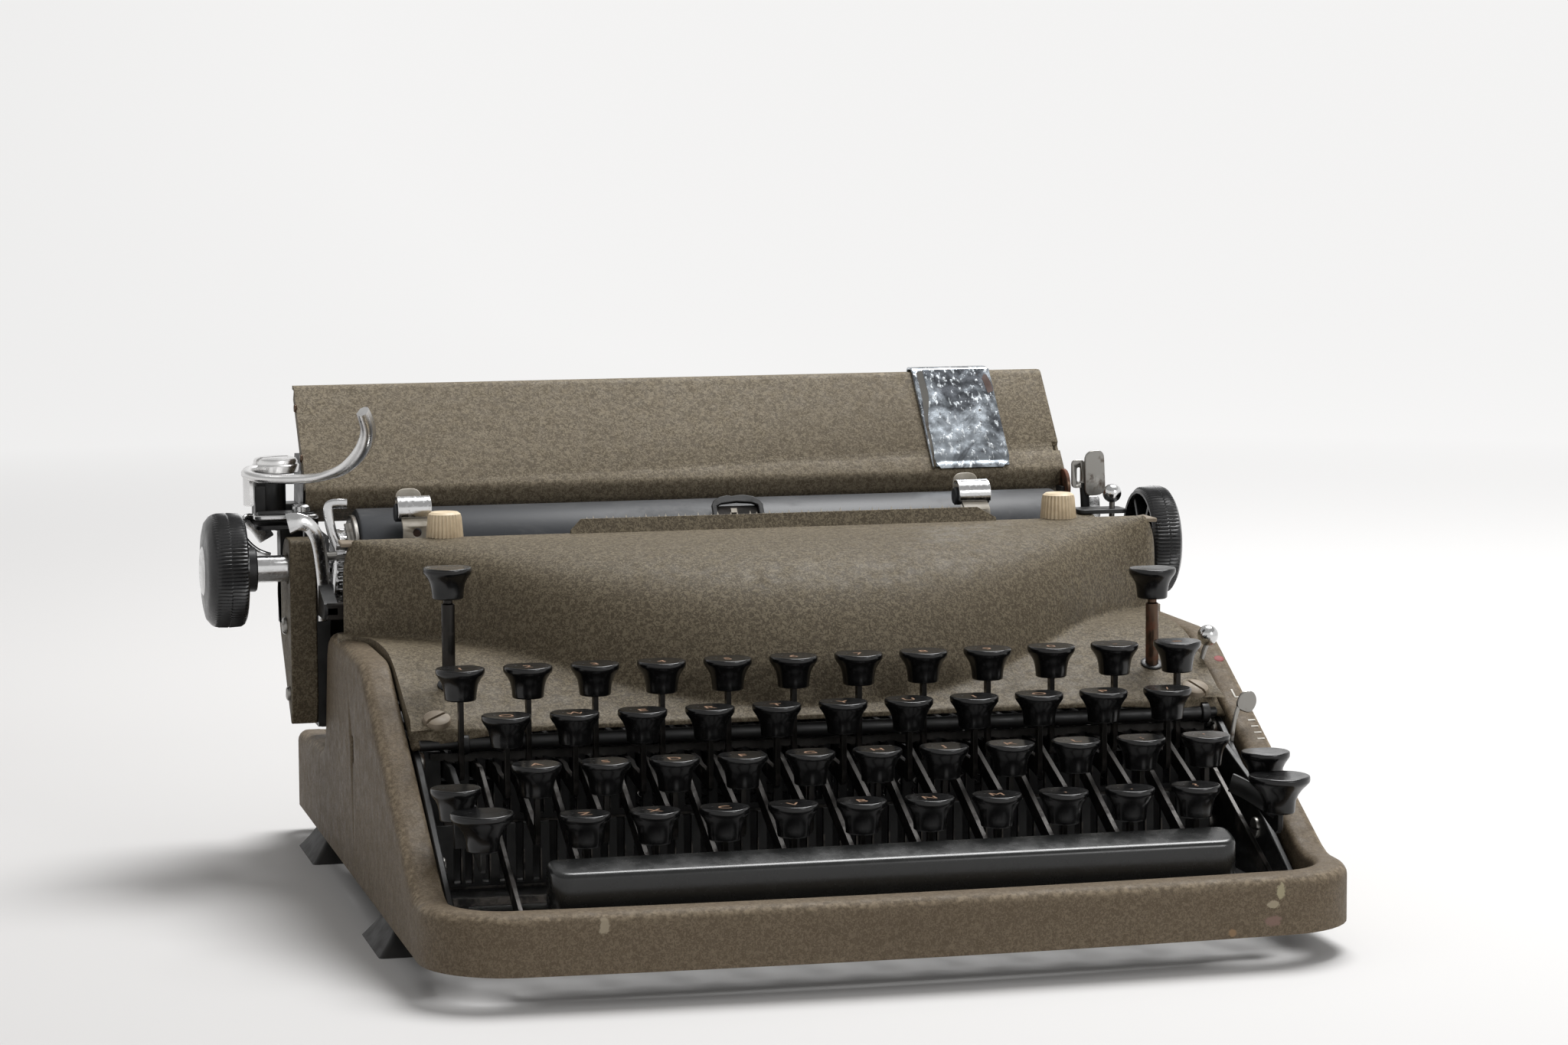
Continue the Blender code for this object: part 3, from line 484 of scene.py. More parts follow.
def wrinkle_enamel(name, dark, light, stain, chip, grain=1150.0, spots=()):
    """Wrinkle paint: fine bumped ridges on a darker ground, their pale colour a painted highlight, with
    stains and bare metal where edges wear.
    """
    material, tree, shader = new_material(name, dark, 0.5)
    ridges = noise(tree, grain, 2.0, 0.5, 1.2)
    # Painted highlight: the raised ridges are coloured pale, as if they catch the light; the same ridges also
    # drive the bump.
    ridge_highlight_mask = ramp(tree, ridges, [(0.44, 0.0), (0.60, 1.0)])
    paint = mix(tree, ridge_highlight_mask, dark, light)
    mottle = ramp(tree, noise(tree, 700.0, 2.0, 0.5), [(0.40, 0.0), (0.7, 0.25)])
    paint = mix(tree, mottle, paint, stain)
    cloud = ramp(tree, noise(tree, 12.0, 1.0, 0.4), [(0.40, 0.0), (0.75, 0.22)])
    paint = mix(tree, cloud, paint, stain)
    patchy = ramp(tree, noise(tree, 600.0, 4.0, 0.6), [(0.44, 0.05), (0.62, 0.55)])
    rubbed = multiply(tree, attribute(tree, "wear"), patchy)
    paint = mix(tree, rubbed, paint, chip)
    chips = ramp(tree, noise(tree, 95.0, 6.0, 0.62, 0.4), [(0.735, 0.0), (0.75, 1.0)])
    paint = mix(tree, multiply(tree, chips, 0.8), paint, (0.30, 0.25, 0.18))
    for place, reach, colour in spots:
        paint = paint_chip(tree, paint, place, reach, colour)
    tree.links.new(paint, shader.inputs["Base Color"])
    rough = ramp(tree, noise(tree, 260.0, 3.0), [(0.3, 0.52), (0.75, 0.72)])
    tree.links.new(rough, shader.inputs["Roughness"])
    shader.inputs["Specular IOR Level"].default_value = 0.22
    bump(tree, shader, ridges, 0.35, 0.00025)
    return material


def gloss_black(name, base, low, high, dust, film_amount=0.3, gloss=0.5):
    material, tree, shader = new_material(name, base, 0.25)
    shader.inputs["Specular IOR Level"].default_value = gloss
    smears = noise(tree, 260.0, 5.0, 0.6)
    tree.links.new(ramp(tree, smears, [(0.3, low), (0.72, high)]), shader.inputs["Roughness"])
    film = ramp(tree, noise(tree, 130.0, 6.0, 0.65, 0.5), [(0.52, 0.0), (0.85, film_amount)])
    tree.links.new(mix(tree, film, base, dust), shader.inputs["Base Color"])
    bump(tree, shader, noise(tree, 500.0, 3.0), 0.03, 0.0001)
    return material


def plated(name, base, tarnish, low=0.10, high=0.32, spots=0.62, brush=None):
    """Nickel or chrome plate with tarnish spots and fine scratches."""
    material, tree, shader = new_material(name, base, 0.2, 1.0)
    spot = ramp(tree, noise(tree, 420.0, 6.0, 0.66, 0.6), [(spots, 0.0), (spots + 0.1, 1.0)])
    cloud = ramp(tree, noise(tree, 60.0, 4.0), [(0.45, 0.0), (0.75, 0.5)])
    colour = mix(tree, spot, mix(tree, cloud, base, [value * 0.72 for value in base]), tarnish)
    tree.links.new(colour, shader.inputs["Base Color"])
    scratches = noise(tree, 900.0, 3.0, 0.6, 0.0, brush if brush is not None else (1.0, 0.12, 1.0))
    tree.links.new(ramp(tree, scratches, [(0.35, low), (0.72, high)]), shader.inputs["Roughness"])
    bump(tree, shader, scratches, 0.06, 0.0001)
    return material


def scratched_chrome(name):
    """Old chrome plate: dark and bright blotches crossed by many fine scratches."""
    material, tree, shader = new_material(name, (0.6, 0.62, 0.65), 0.2, 1.0)
    blotch = ramp(tree, noise(tree, 85.0, 5.0, 0.62, 0.8, (1.0, 0.8, 0.8)), [(0.40, 0.0), (0.56, 1.0)])
    colour = mix(tree, blotch, (0.10, 0.108, 0.12), (0.40, 0.44, 0.48))
    slanted = ramp(tree, noise(tree, 760.0, 3.0, 0.6, 0.3, (1.0, 0.35, 0.5)), [(0.58, 0.0), (0.63, 1.0)])
    colour = mix(tree, slanted, colour, (0.66, 0.70, 0.73))
    dents = ramp(tree, noise(tree, 380.0, 4.0, 0.6), [(0.66, 0.0), (0.70, 1.0)])
    colour = mix(tree, dents, colour, (0.10, 0.09, 0.085))
    tree.links.new(colour, shader.inputs["Base Color"])
    tree.links.new(ramp(tree, noise(tree, 300.0, 4.0), [(0.3, 0.10), (0.75, 0.30)]),
                   shader.inputs["Roughness"])
    bump(tree, shader, slanted, 0.10, 0.0001)
    return material


def worn_steel(name, base, rust, amount=0.55):
    material, tree, shader = new_material(name, base, 0.4, 0.85)
    patches = ramp(tree, noise(tree, 170.0, 6.0, 0.62, 0.3), [(amount, 0.0), (amount + 0.12, 1.0)])
    tree.links.new(mix(tree, patches, base, rust), shader.inputs["Base Color"])
    tree.links.new(ramp(tree, patches, [(0.0, 0.32), (1.0, 0.75)]), shader.inputs["Roughness"])
    tree.links.new(ramp(tree, patches, [(0.0, 0.9), (1.0, 0.2)]), shader.inputs["Metallic"])
    bump(tree, shader, noise(tree, 600.0, 4.0), 0.12, 0.0001)
    return material


def roller_rubber(name):
    base = (0.030, 0.033, 0.038)
    material, tree, shader = new_material(name, base, 0.4)
    shader.inputs["Specular IOR Level"].default_value = 0.4
    chalk = ramp(tree, noise(tree, 55.0, 8.0, 0.68, 0.8, (0.6, 1.0, 1.0)), [(0.50, 0.0), (0.78, 0.42)])
    fine = ramp(tree, noise(tree, 520.0, 3.0), [(0.4, 0.2), (0.8, 1.0)])
    colour = mix(tree, multiply(tree, chalk, fine), base, (0.26, 0.25, 0.24))
    tree.links.new(colour, shader.inputs["Base Color"])
    tree.links.new(ramp(tree, chalk, [(0.0, 0.46), (0.5, 0.75)]), shader.inputs["Roughness"])
    bump(tree, shader, noise(tree, 300.0, 5.0), 0.12, 0.0002)
    return material


def plain_plastic(name, base, dirt, roughness=0.45):
    material, tree, shader = new_material(name, base, roughness)
    grime = ramp(tree, noise(tree, 190.0, 6.0, 0.6), [(0.42, 0.0), (0.75, 0.8)])
    tree.links.new(mix(tree, grime, base, dirt), shader.inputs["Base Color"])
    tree.links.new(ramp(tree, grime, [(0.0, roughness), (1.0, roughness + 0.25)]), shader.inputs["Roughness"])
    bump(tree, shader, noise(tree, 900.0, 3.0), 0.08, 0.0001)
    return material


olive = wrinkle_enamel("olive_wrinkle_enamel", (0.080, 0.063, 0.040), (0.188, 0.156, 0.104),
                       (0.068, 0.050, 0.030),
                       (0.30, 0.25, 0.18))
# Painted light: the paper table's enamel is a lighter copy of the cover's olive enamel, brightened because
# the table faces the light.
olive_table_lit = wrinkle_enamel("table_wrinkle_enamel_lit", (0.110, 0.088, 0.058), (0.255, 0.214, 0.148),
                             (0.094, 0.071, 0.045),
                             (0.30, 0.25, 0.18))
olive_side = wrinkle_enamel("casing_wrinkle_enamel", (0.108, 0.082, 0.053), (0.172, 0.134, 0.090),
                            (0.078, 0.055, 0.034), (0.36, 0.29, 0.20), 1250.0, RAIL_CHIPS)
key_black = gloss_black("key_plastic", (0.005, 0.005, 0.0052), 0.16, 0.30, (0.024, 0.022, 0.020), 0.10, 0.42)
bar_black = gloss_black("space_bar_plastic", (0.014, 0.0146, 0.0144), 0.20, 0.32, (0.042, 0.043, 0.042), 0.12,
                        0.50)
knob_black = gloss_black("knob_plastic", (0.013, 0.013, 0.014), 0.22, 0.4, (0.07, 0.068, 0.062))
chassis_black = gloss_black("chassis_enamel", (0.008, 0.008, 0.008), 0.28, 0.6, (0.05, 0.043, 0.034))
foot_black = plain_plastic("foot_rubber", (0.011, 0.010, 0.0095), (0.032, 0.028, 0.025), 0.6)
bright = plated("bright_nickel", (0.68, 0.68, 0.68), (0.26, 0.23, 0.20))
lever_plate = plated("lever_nickel", (0.80, 0.795, 0.79), (0.66, 0.64, 0.60), 0.26, 0.34, 0.74,
                     (0.4, 0.4, 0.4))
guide_plate = scratched_chrome("guide_chrome")
steel = worn_steel("worn_steel", (0.30, 0.29, 0.27), (0.10, 0.062, 0.038), 0.58)
dark_steel = worn_steel("lever_steel", (0.028, 0.026, 0.024), (0.018, 0.013, 0.010), 0.50)
rusty_steel = worn_steel("rusty_rod_steel", (0.10, 0.065, 0.045), (0.13, 0.045, 0.02), 0.45)
tan = plain_plastic("tan_plastic", (0.80, 0.66, 0.46), (0.52, 0.40, 0.26), 0.5)
tan_paint = plain_plastic("tan_paint", (0.27, 0.22, 0.16), (0.15, 0.115, 0.08), 0.55)
cut_metal = plain_plastic("lip_teeth_metal", (0.52, 0.48, 0.41), (0.30, 0.26, 0.20), 0.45)
rust_patch = plain_plastic("rust_patch", (0.115, 0.075, 0.065), (0.07, 0.042, 0.034), 0.75)
rubber = roller_rubber("roller_rubber")
legend_ink = plain_plastic("legend_filling", (0.27, 0.15, 0.08), (0.06, 0.035, 0.022), 0.6)
red_paint = plain_plastic("red_speck", (0.30, 0.03, 0.03), (0.16, 0.02, 0.02), 0.5)
white_paint = plain_plastic("white_marks", (0.62, 0.60, 0.54), (0.30, 0.27, 0.22), 0.6)
dust_felt = plain_plastic("dust_felt", (0.035, 0.03, 0.026), (0.07, 0.06, 0.05), 0.9)
felt_grey = plain_plastic("comb_felt", (0.055, 0.052, 0.048), (0.012, 0.011, 0.010), 0.95)
comb_edge = worn_steel("rubbed_enamel", (0.11, 0.10, 0.09), (0.014, 0.013, 0.012), 0.46)


# Objects


def set_layer(mesh, name, domain, values):
    layer = mesh.attributes.new(name, "FLOAT", domain)
    layer.data.foreach_set("value", values)


def round_edges(made, width, steps, angle=35):
    rounding = made.modifiers.new("rounding", "BEVEL")
    rounding.width = width * MM
    rounding.segments = steps
    rounding.limit_method = "ANGLE"
    rounding.angle_limit = math.radians(angle)


def finish_mesh(mesh, sharp_degrees):
    working = bmesh.new()
    working.from_mesh(mesh)
    bmesh.ops.recalc_face_normals(working, faces=working.faces)
    working.to_mesh(mesh)
    working.free()
    mesh.shade_smooth()
    mesh.set_sharp_from_angle(angle=math.radians(sharp_degrees))


def make_mesh(name, shape, sharp_degrees=35, origin=None):
    """A mesh from a shape. With an origin, its points are measured from there."""
    mesh = bpy.data.meshes.new(name)
    if origin is None:
        points = [to_row(point) for point in shape[0]]
    else:
        points = [(Vector(point) - Vector(origin)) * MM for point in shape[0]]
    mesh.from_pydata([tuple(point) for point in points], [], shape[1])
    finish_mesh(mesh, sharp_degrees)
    return mesh


def place_mesh(name, mesh, material, body, replaces=(), bevel=0.0, bevel_steps=2, location=None):
    made = bpy.data.objects.new(name, mesh)
    bpy.context.scene.collection.objects.link(made)
    if not mesh.materials:
        mesh.materials.append(material)
    if location is not None:
        made.location = to_row(location)
    if bevel:
        round_edges(made, bevel, bevel_steps)
    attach(made, body)
    if replaces:
        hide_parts(*replaces)
    return made


def piece(name, shape, material, body, replaces=(), bevel=0.0, bevel_steps=2, sharp=35):
    return place_mesh(name, make_mesh(name, shape, sharp), material, body, replaces, bevel, bevel_steps)


def cut_from(target, shape):
    """Cuts a shape from a finished piece for good."""
    cutter = bpy.data.objects.new("cutter", make_mesh("cutter", shape))
    bpy.context.scene.collection.objects.link(cutter)
    modifier = target.modifiers.new("cut", "BOOLEAN")
    modifier.operation = "DIFFERENCE"
    modifier.solver = "EXACT"
    modifier.object = cutter
    graph = bpy.context.evaluated_depsgraph_get()
    result = bpy.data.meshes.new_from_object(target.evaluated_get(graph))
    target.modifiers.clear()
    target.data = result
    bpy.data.objects.remove(cutter, do_unlink=True)


def strip(name, section, line, up, material, body="carriage", steps=5, scales=None):
    """A bent strip along a smooth line. Its section is (width, thickness, edge radius)."""
    shape = sweep(flat_section(*section), smooth_line(line, steps), up, scales)
    return piece(name, shape, material, body, sharp=50)


def screw_head(centre, normal_axis, outward, radius, height, slot_degrees=20, dome=0.35):
    """A slotted screw head: two half heads with the slot between them, on a thin disc."""
    shapes = []
    slot_half = radius * 0.11
    floor_height = height * 0.45
    sides = 16
    levels = ((1.0, 0.0), (1.0, floor_height), (0.93, height * 0.8), (0.72, height))
    for half in (1, -1):
        edge = half * slot_half
        points = []
        for share, level in levels:
            for step in range(sides + 1):
                angle = math.pi * step / sides
                over = half * (slot_half + (radius - slot_half) * math.sin(angle))
                points.append((radius * math.cos(angle) * share, edge + (over - edge) * share,
                               level + dome * (1 - share)))
        shapes.append((points, tube_faces(sides + 1, len(levels))))
    shapes.append(lathe([(0, 0), (0, radius * 0.98), (floor_height, radius * 0.98), (floor_height, 0)],
                        24, "Z", (0, 0, 0)))
    head = turned_about(join(*shapes), "Z", slot_degrees)
    if normal_axis == "X":
        head = turned_about(head, "Y", 90 if outward > 0 else -90)
    elif normal_axis == "Y":
        head = turned_about(head, "X", -90 if outward > 0 else 90)
    elif outward < 0:
        head = turned_about(head, "X", 180)
    return moved(head, centre)


# Camera, light and floor

def add_camera():
    data = bpy.data.cameras.new("camera")
    camera = bpy.data.objects.new("camera", data)
    bpy.context.scene.collection.objects.link(camera)
    data.sensor_width = SENSOR_WIDTH
    data.lens = LENS_PIXELS / IMAGE_WIDTH * SENSOR_WIDTH
    data.clip_end = 50
    forward = Vector((math.sin(CAMERA_YAW) * math.cos(CAMERA_PITCH),
                      math.cos(CAMERA_YAW) * math.cos(CAMERA_PITCH), -math.sin(CAMERA_PITCH)))
    level = Vector((math.cos(CAMERA_YAW), -math.sin(CAMERA_YAW), 0))
    over = level.cross(forward)
    right = level * math.cos(CAMERA_ROLL) + over * math.sin(CAMERA_ROLL)
    up = over * math.cos(CAMERA_ROLL) - level * math.sin(CAMERA_ROLL)
    basis = Matrix((right, up, -forward)).transposed()
    camera.matrix_world = Matrix.Translation(to_row(CAMERA_PLACE)) @ basis.to_4x4()
    bpy.context.scene.camera = camera


def add_area_light(name, place, target, size, power, colour=(1, 1, 1)):
    data = bpy.data.lights.new(name, "AREA")
    data.shape = "DISK"
    data.size = size
    data.energy = power
    data.color = colour
    light = bpy.data.objects.new(name, data)
    bpy.context.scene.collection.objects.link(light)
    light.location = place
    direction = Vector(target) - Vector(place)
    light.rotation_euler = direction.to_track_quat("-Z", "Y").to_euler()


def floor_material():
    """Pale paper that glows towards the distance, so that it fades into an even backdrop; painted shade
    darkens its left side.
    """
    material, tree, shader = new_material("floor_paper", (0.86, 0.855, 0.85), 0.75)
    shader.inputs["Specular IOR Level"].default_value = 0.2
    glow = node(tree, "ShaderNodeEmission")
    shown = node(tree, "ShaderNodeMixShader")
    path = node(tree, "ShaderNodeLightPath")
    position = node(tree, "ShaderNodeNewGeometry").outputs["Position"]
    across = node(tree, "ShaderNodeSeparateXYZ")
    tree.links.new(position, across.inputs["Vector"])
    # Painted shade across the floor: the paper's colour and its glow go from darker on the left to lighter on
    # the right.
    shade_to_light_share = map_range(tree, across.outputs["X"], -0.45, 0.45)
    tree.links.new(mix(tree, shade_to_light_share, (0.64, 0.63, 0.625), (0.80, 0.795, 0.79)),
                   shader.inputs["Base Color"])
    tree.links.new(mix(tree, shade_to_light_share, (0.865, 0.86, 0.855), (0.955, 0.95, 0.945)), glow.inputs["Color"])
    far = node(tree, "ShaderNodeVectorMath", operation="LENGTH")
    tree.links.new(position, far.inputs[0])
    fade = map_range(tree, far.outputs["Value"], 0.45, 1.6, 0.92)
    seen = maths(tree, "MAXIMUM", path.outputs["Is Camera Ray"], path.outputs["Is Glossy Ray"])
    tree.links.new(multiply(tree, seen, fade), shown.inputs["Fac"])
    tree.links.new(shader.outputs["BSDF"], shown.inputs[1])
    tree.links.new(glow.outputs["Emission"], shown.inputs[2])
    tree.links.new(shown.outputs["Shader"], tree.nodes["Material Output"].inputs["Surface"])
    return material


def add_stage():
    """A pale floor that curves up into a backdrop on every side."""
    profile = ((1.0, 0.0), (3.0, 0.0), (4.2, 0.15), (5.2, 0.7), (5.9, 1.6), (7.0, 4.5))
    sides = 64
    points = []
    for radius, height in profile:
        for side in range(sides):
            angle = 2 * math.pi * side / sides
            points.append((radius * math.cos(angle), radius * math.sin(angle), height))
    faces = [list(range(sides))]
    for low in range(0, (len(profile) - 1) * sides, sides):
        for side in range(sides):
            after = (side + 1) % sides
            faces.append([low + side, low + sides + side, low + sides + after, low + after])
    mesh = bpy.data.meshes.new("floor")
    mesh.from_pydata(points, [], faces)
    mesh.shade_smooth()
    mesh.materials.append(floor_material())
    floor = bpy.data.objects.new("floor", mesh)
    bpy.context.scene.collection.objects.link(floor)


def add_light():
    world = bpy.data.worlds.new("studio")
    bpy.context.scene.world = world
    world.use_nodes = True
    background = world.node_tree.nodes["Background"]
    background.inputs["Color"].default_value = (1.0, 0.995, 0.985, 1)
    background.inputs["Strength"].default_value = 0.42
    add_area_light("overhead", (0.50, 0.45, 1.45), (0, 0, 0.05), 0.9, 26.0)
    add_area_light("front_fill", (0.9, -1.5, 0.9), (0, 0, 0.08), 0.6, 6.0)


# Casing

def interpolate(line, at):
    if at <= line[0][0]:
        return line[0][1]
    for before, after in zip(line, line[1:]):
        if at <= after[0]:
            if after[0] == before[0]:
                return after[1]
            return before[1] + (after[1] - before[1]) * (at - before[0]) / (after[0] - before[0])
    return line[-1][1]


def eased_top_line():
    """The side rail's top seen from the side, as (y, z) points with its corners eased."""
    line = [(-10, FRONT_RAIL_TOP), (SLOPE_FRONT_Y, FRONT_RAIL_TOP), (SHOULDER_Y, SHOULDER_TOP),
            (199.5, SHOULDER_TOP), (207.5, 43.0), (216, TRAY_TOP), (300, 31.5)]
    return [tuple(point) for point in rounded_line(line, 5.5, 5)]


CASING_TOP_LINE = eased_top_line()


def casing_top(y):
    """Height of the rail's top at a depth."""
    return interpolate(CASING_TOP_LINE, y)


def casing_path():
    """Stations round the casing seen from above: place, outward direction and rail width."""
    stations = []
    straight = CASING_HALF - FRONT_RADIUS
    side_ys = [26, 30, 34, 38, 43, 50, 60, 72, 84, 96, 108, 118, 125, 128, 131, 134, 138, 146, 158, 172, 186,
               194, 196.5, 198.5, 200.5, 202.5, 204.5, 206.5, 208.5, 211, 214, 217, 221, 228, 240, 256, 270,
               276]
    for y in side_ys[::-1]:
        stations.append(((-CASING_HALF, y), (-1, 0), SIDE_RAIL_WIDTH))
    for step in range(0, 11):
        angle = math.radians(180 + 9 * step)
        width = SIDE_RAIL_WIDTH + (FRONT_RAIL_WIDTH - SIDE_RAIL_WIDTH) * step / 10
        normal = (math.cos(angle), math.sin(angle))
        stations.append(((-straight + FRONT_RADIUS * normal[0], FRONT_RADIUS + FRONT_RADIUS * normal[1]),
                         normal, width))
    for step in range(1, 24):
        share = -1 + 2 * step / 24
        stations.append(((share * straight, -FRONT_BOW * (1 - share * share)),
                         (share * 2 * FRONT_BOW / straight, -1), FRONT_RAIL_WIDTH))
    for station in list(stations[:len(side_ys) + 11])[::-1]:
        (x, y), (nx, ny), width = station
        stations.append(((-x, y), (-nx, ny), width))
    corner_steps = 5
    for side in (1, -1):
        for step in range(corner_steps + 1):
            angle = math.radians((0 if side > 0 else 90) + 90 * step / corner_steps)
            normal = (math.cos(angle), math.sin(angle))
            stations.append(((side * (CASING_HALF - REAR_RADIUS) + REAR_RADIUS * normal[0],
                              CASING_DEPTH - REAR_RADIUS + REAR_RADIUS * normal[1]), normal, SIDE_RAIL_WIDTH))
        if side > 0:
            for share in (0.6, 0.2, -0.2, -0.6):
                stations.append(((share * CASING_HALF, CASING_DEPTH), (0, 1), SIDE_RAIL_WIDTH))
    return stations


FLOOR = -99.0


def build_casing():
    """The casing's wall and rolled-in rail, as one section carried round the plan.

    A section point is (inward, height over the rail's top, wear). FLOOR reaches below the casing's
    bottom edge, where the points are held.
    """
    outer_radius = 3.4
    inner_radius = 2.2
    wall = 1.3
    lip = 8.5
    points = []
    wear = []
    stations = casing_path()
    for (x, y), normal, width in stations:
        direction = Vector((normal[0], normal[1])).normalized()
        section = [(0.0, FLOOR, 0.25), (0.0, -7.0, 0.0), (0.0, -outer_radius, 0.1)]
        for step in range(1, 6):
            angle = math.radians(18 * step)
            section.append((outer_radius * (1 - math.cos(angle)), -outer_radius * (1 - math.sin(angle)),
                            0.9 if step in (2, 3) else 0.25))
        for step in range(0, 5):
            angle = math.radians(90 - 22.5 * step)
            section.append((width - inner_radius + inner_radius * math.cos(angle),
                            -inner_radius + inner_radius * math.sin(angle), 0.5 if step == 2 else 0.1))
        section += [(width, -lip, 0.2), (width - wall, -lip, 0.0), (width - wall, -wall - 1.0, 0.0),
                    (wall + 1.0, -wall, 0.0), (wall, -wall - 2.0, 0.0), (wall, FLOOR, 0.2)]
        for inward, drop, worn in section:
            place = Vector((x, y)) - direction * inward
            top = casing_top(place.y if abs(direction.x) > 0.9 else min(y, CASING_DEPTH))
            points.append((place.x, place.y, max(top + drop, CASING_BOTTOM)))
            wear.append(worn)
    count = len(section)
    faces = []
    total = len(stations)
    for station in range(total):
        following = (station + 1) % total
        for index in range(count):
            after = (index + 1) % count
            faces.append([station * count + index, station * count + after,
                          following * count + after, following * count + index])
    shell = piece("casing_shell", (points, faces), olive_side, "machine", ["casing"], sharp=60)
    set_layer(shell.data, "wear", "POINT", wear)
    slot_y = 147
    slot_z = 46.5
    slot_outline = rounded_outline([(-2.6, -4.2), (2.6, -4.2), (2.6, 4.2), (-2.6, 4.2)], 2.5)
    slot = prism([(slot_y + y, slot_z + z) for y, z in slot_outline], "X",
                 -CASING_HALF - 3, -CASING_HALF + 0.9)
    plug = prism([(slot_y + y * 0.62, slot_z + z * 0.8) for y, z in slot_outline], "X",
                 -CASING_HALF + 0.5, -CASING_HALF + 0.95)
    cut_from(shell, slot)
    piece("casing_slot_floor", plug, chassis_black, "machine")


# Ribbon cover

APRON_FRONT_Y = 94.3
APRON_FRONT_Z = 59.3
APRON_TOP = SHOULDER_TOP + 1.5
HOOD_REAR_Y = 180.0
HOOD_TOP = 104.0
COVER_HALF = 126.6
APRON_HALF = 119.6


APRON_RISE = APRON_TOP - APRON_FRONT_Z
APRON_RUN = SHOULDER_Y - APRON_FRONT_Y
APRON_SLOPE = math.degrees(math.atan2(APRON_RISE, APRON_RUN))
LIP_TILT = -28


def apron_height(y):
    if y >= SHOULDER_Y:
        return APRON_TOP
    return APRON_FRONT_Z + APRON_RISE * (y - APRON_FRONT_Y) / APRON_RUN


def cover_grid():
    """The cover's outer face as columns of points, each from the apron's rim up to the hood's rear."""
    foot_shares = ((0.0, 0.035), (0.17, 0.055), (0.33, 0.12), (0.47, 0.22), (0.60, 0.36),
                   (0.70, 0.51), (0.78, 0.66), (0.85, 0.78), (0.91, 0.88), (0.955, 0.925),
                   (0.985, 0.965), (1.0, 1.0))
    rim_shares = ((0.0, 0.0), (0.17, 0.0), (0.36, 0.0), (0.56, 0.0), (0.78, 0.0), (1.0, 0.0),
                  (1.0, 0.22), (1.0, 0.44), (1.0, 0.66), (1.0, 0.88), (1.06, 0.94), (1.075, 1.0))
    rises = ((0.0, 0.0, 0.0), (0.10, 0.015, 0.0), (0.38, 0.075, 0.0), (0.66, 0.16, 0.0), (0.84, 0.27, 0.006),
             (0.945, 0.43, 0.016), (0.99, 0.68, 0.025), (1.0, 0.96, 0.03), (1.0, 1.0, 0.03))
    depth = HOOD_REAR_Y - APRON_FRONT_Y
    half = []
    for (foot_x, foot_y), (rim_x, rim_y) in zip(foot_shares, rim_shares):
        foot = (foot_x * COVER_HALF, APRON_FRONT_Y + foot_y * depth)
        rim = (rim_x * APRON_HALF, APRON_FRONT_Y + rim_y * depth)
        middle = ((foot[0] + rim[0]) / 2, (foot[1] + rim[1]) / 2)
        if rim[1] < SHOULDER_Y < foot[1]:
            share = (SHOULDER_Y - rim[1]) / (foot[1] - rim[1])
            middle = (rim[0] + (foot[0] - rim[0]) * share, SHOULDER_Y)
        foot_z = apron_height(foot[1])
        flange = 1.2 if rim_y == 0 and rim_x < 1 else 5.0
        column = [(rim[0], rim[1], apron_height(rim[1]) - flange), (rim[0], rim[1], apron_height(rim[1])),
                  (middle[0], middle[1], apron_height(middle[1]))]
        for rise, back, draw in rises:
            column.append((foot[0] * (1 - draw), foot[1] + back * (HOOD_REAR_Y - foot[1]),
                           foot_z + rise * (HOOD_TOP - foot_z)))
        half.append(column)
    return [[(-x, y, z) for x, y, z in column] for column in half[:0:-1]] + half


def crease_cover(mesh, columns, rows):
    """Keeps the apron's rim and seam and its two front corners crisp when the shell is rounded."""
    edge_index = {tuple(sorted(edge.vertices)): index for index, edge in enumerate(mesh.edges)}
    edge_crease = [0.0] * len(mesh.edges)
    for column in range(len(columns) - 1):
        for row, sharpness in ((1, 0.75), (3, 0.35)):
            edge = tuple(sorted((column * rows + row, (column + 1) * rows + row)))
            edge_crease[edge_index[edge]] = sharpness
    set_layer(mesh, "crease_edge", "EDGE", edge_crease)
    corner_crease = [0.0] * len(mesh.vertices)
    for index, column in enumerate(columns):
        rim_x, rim_y, _ = column[0]
        if abs(rim_x) == APRON_HALF and rim_y == APRON_FRONT_Y:
            corner_crease[index * rows] = 1.0
            corner_crease[index * rows + 1] = 1.0
    set_layer(mesh, "crease_vert", "POINT", corner_crease)


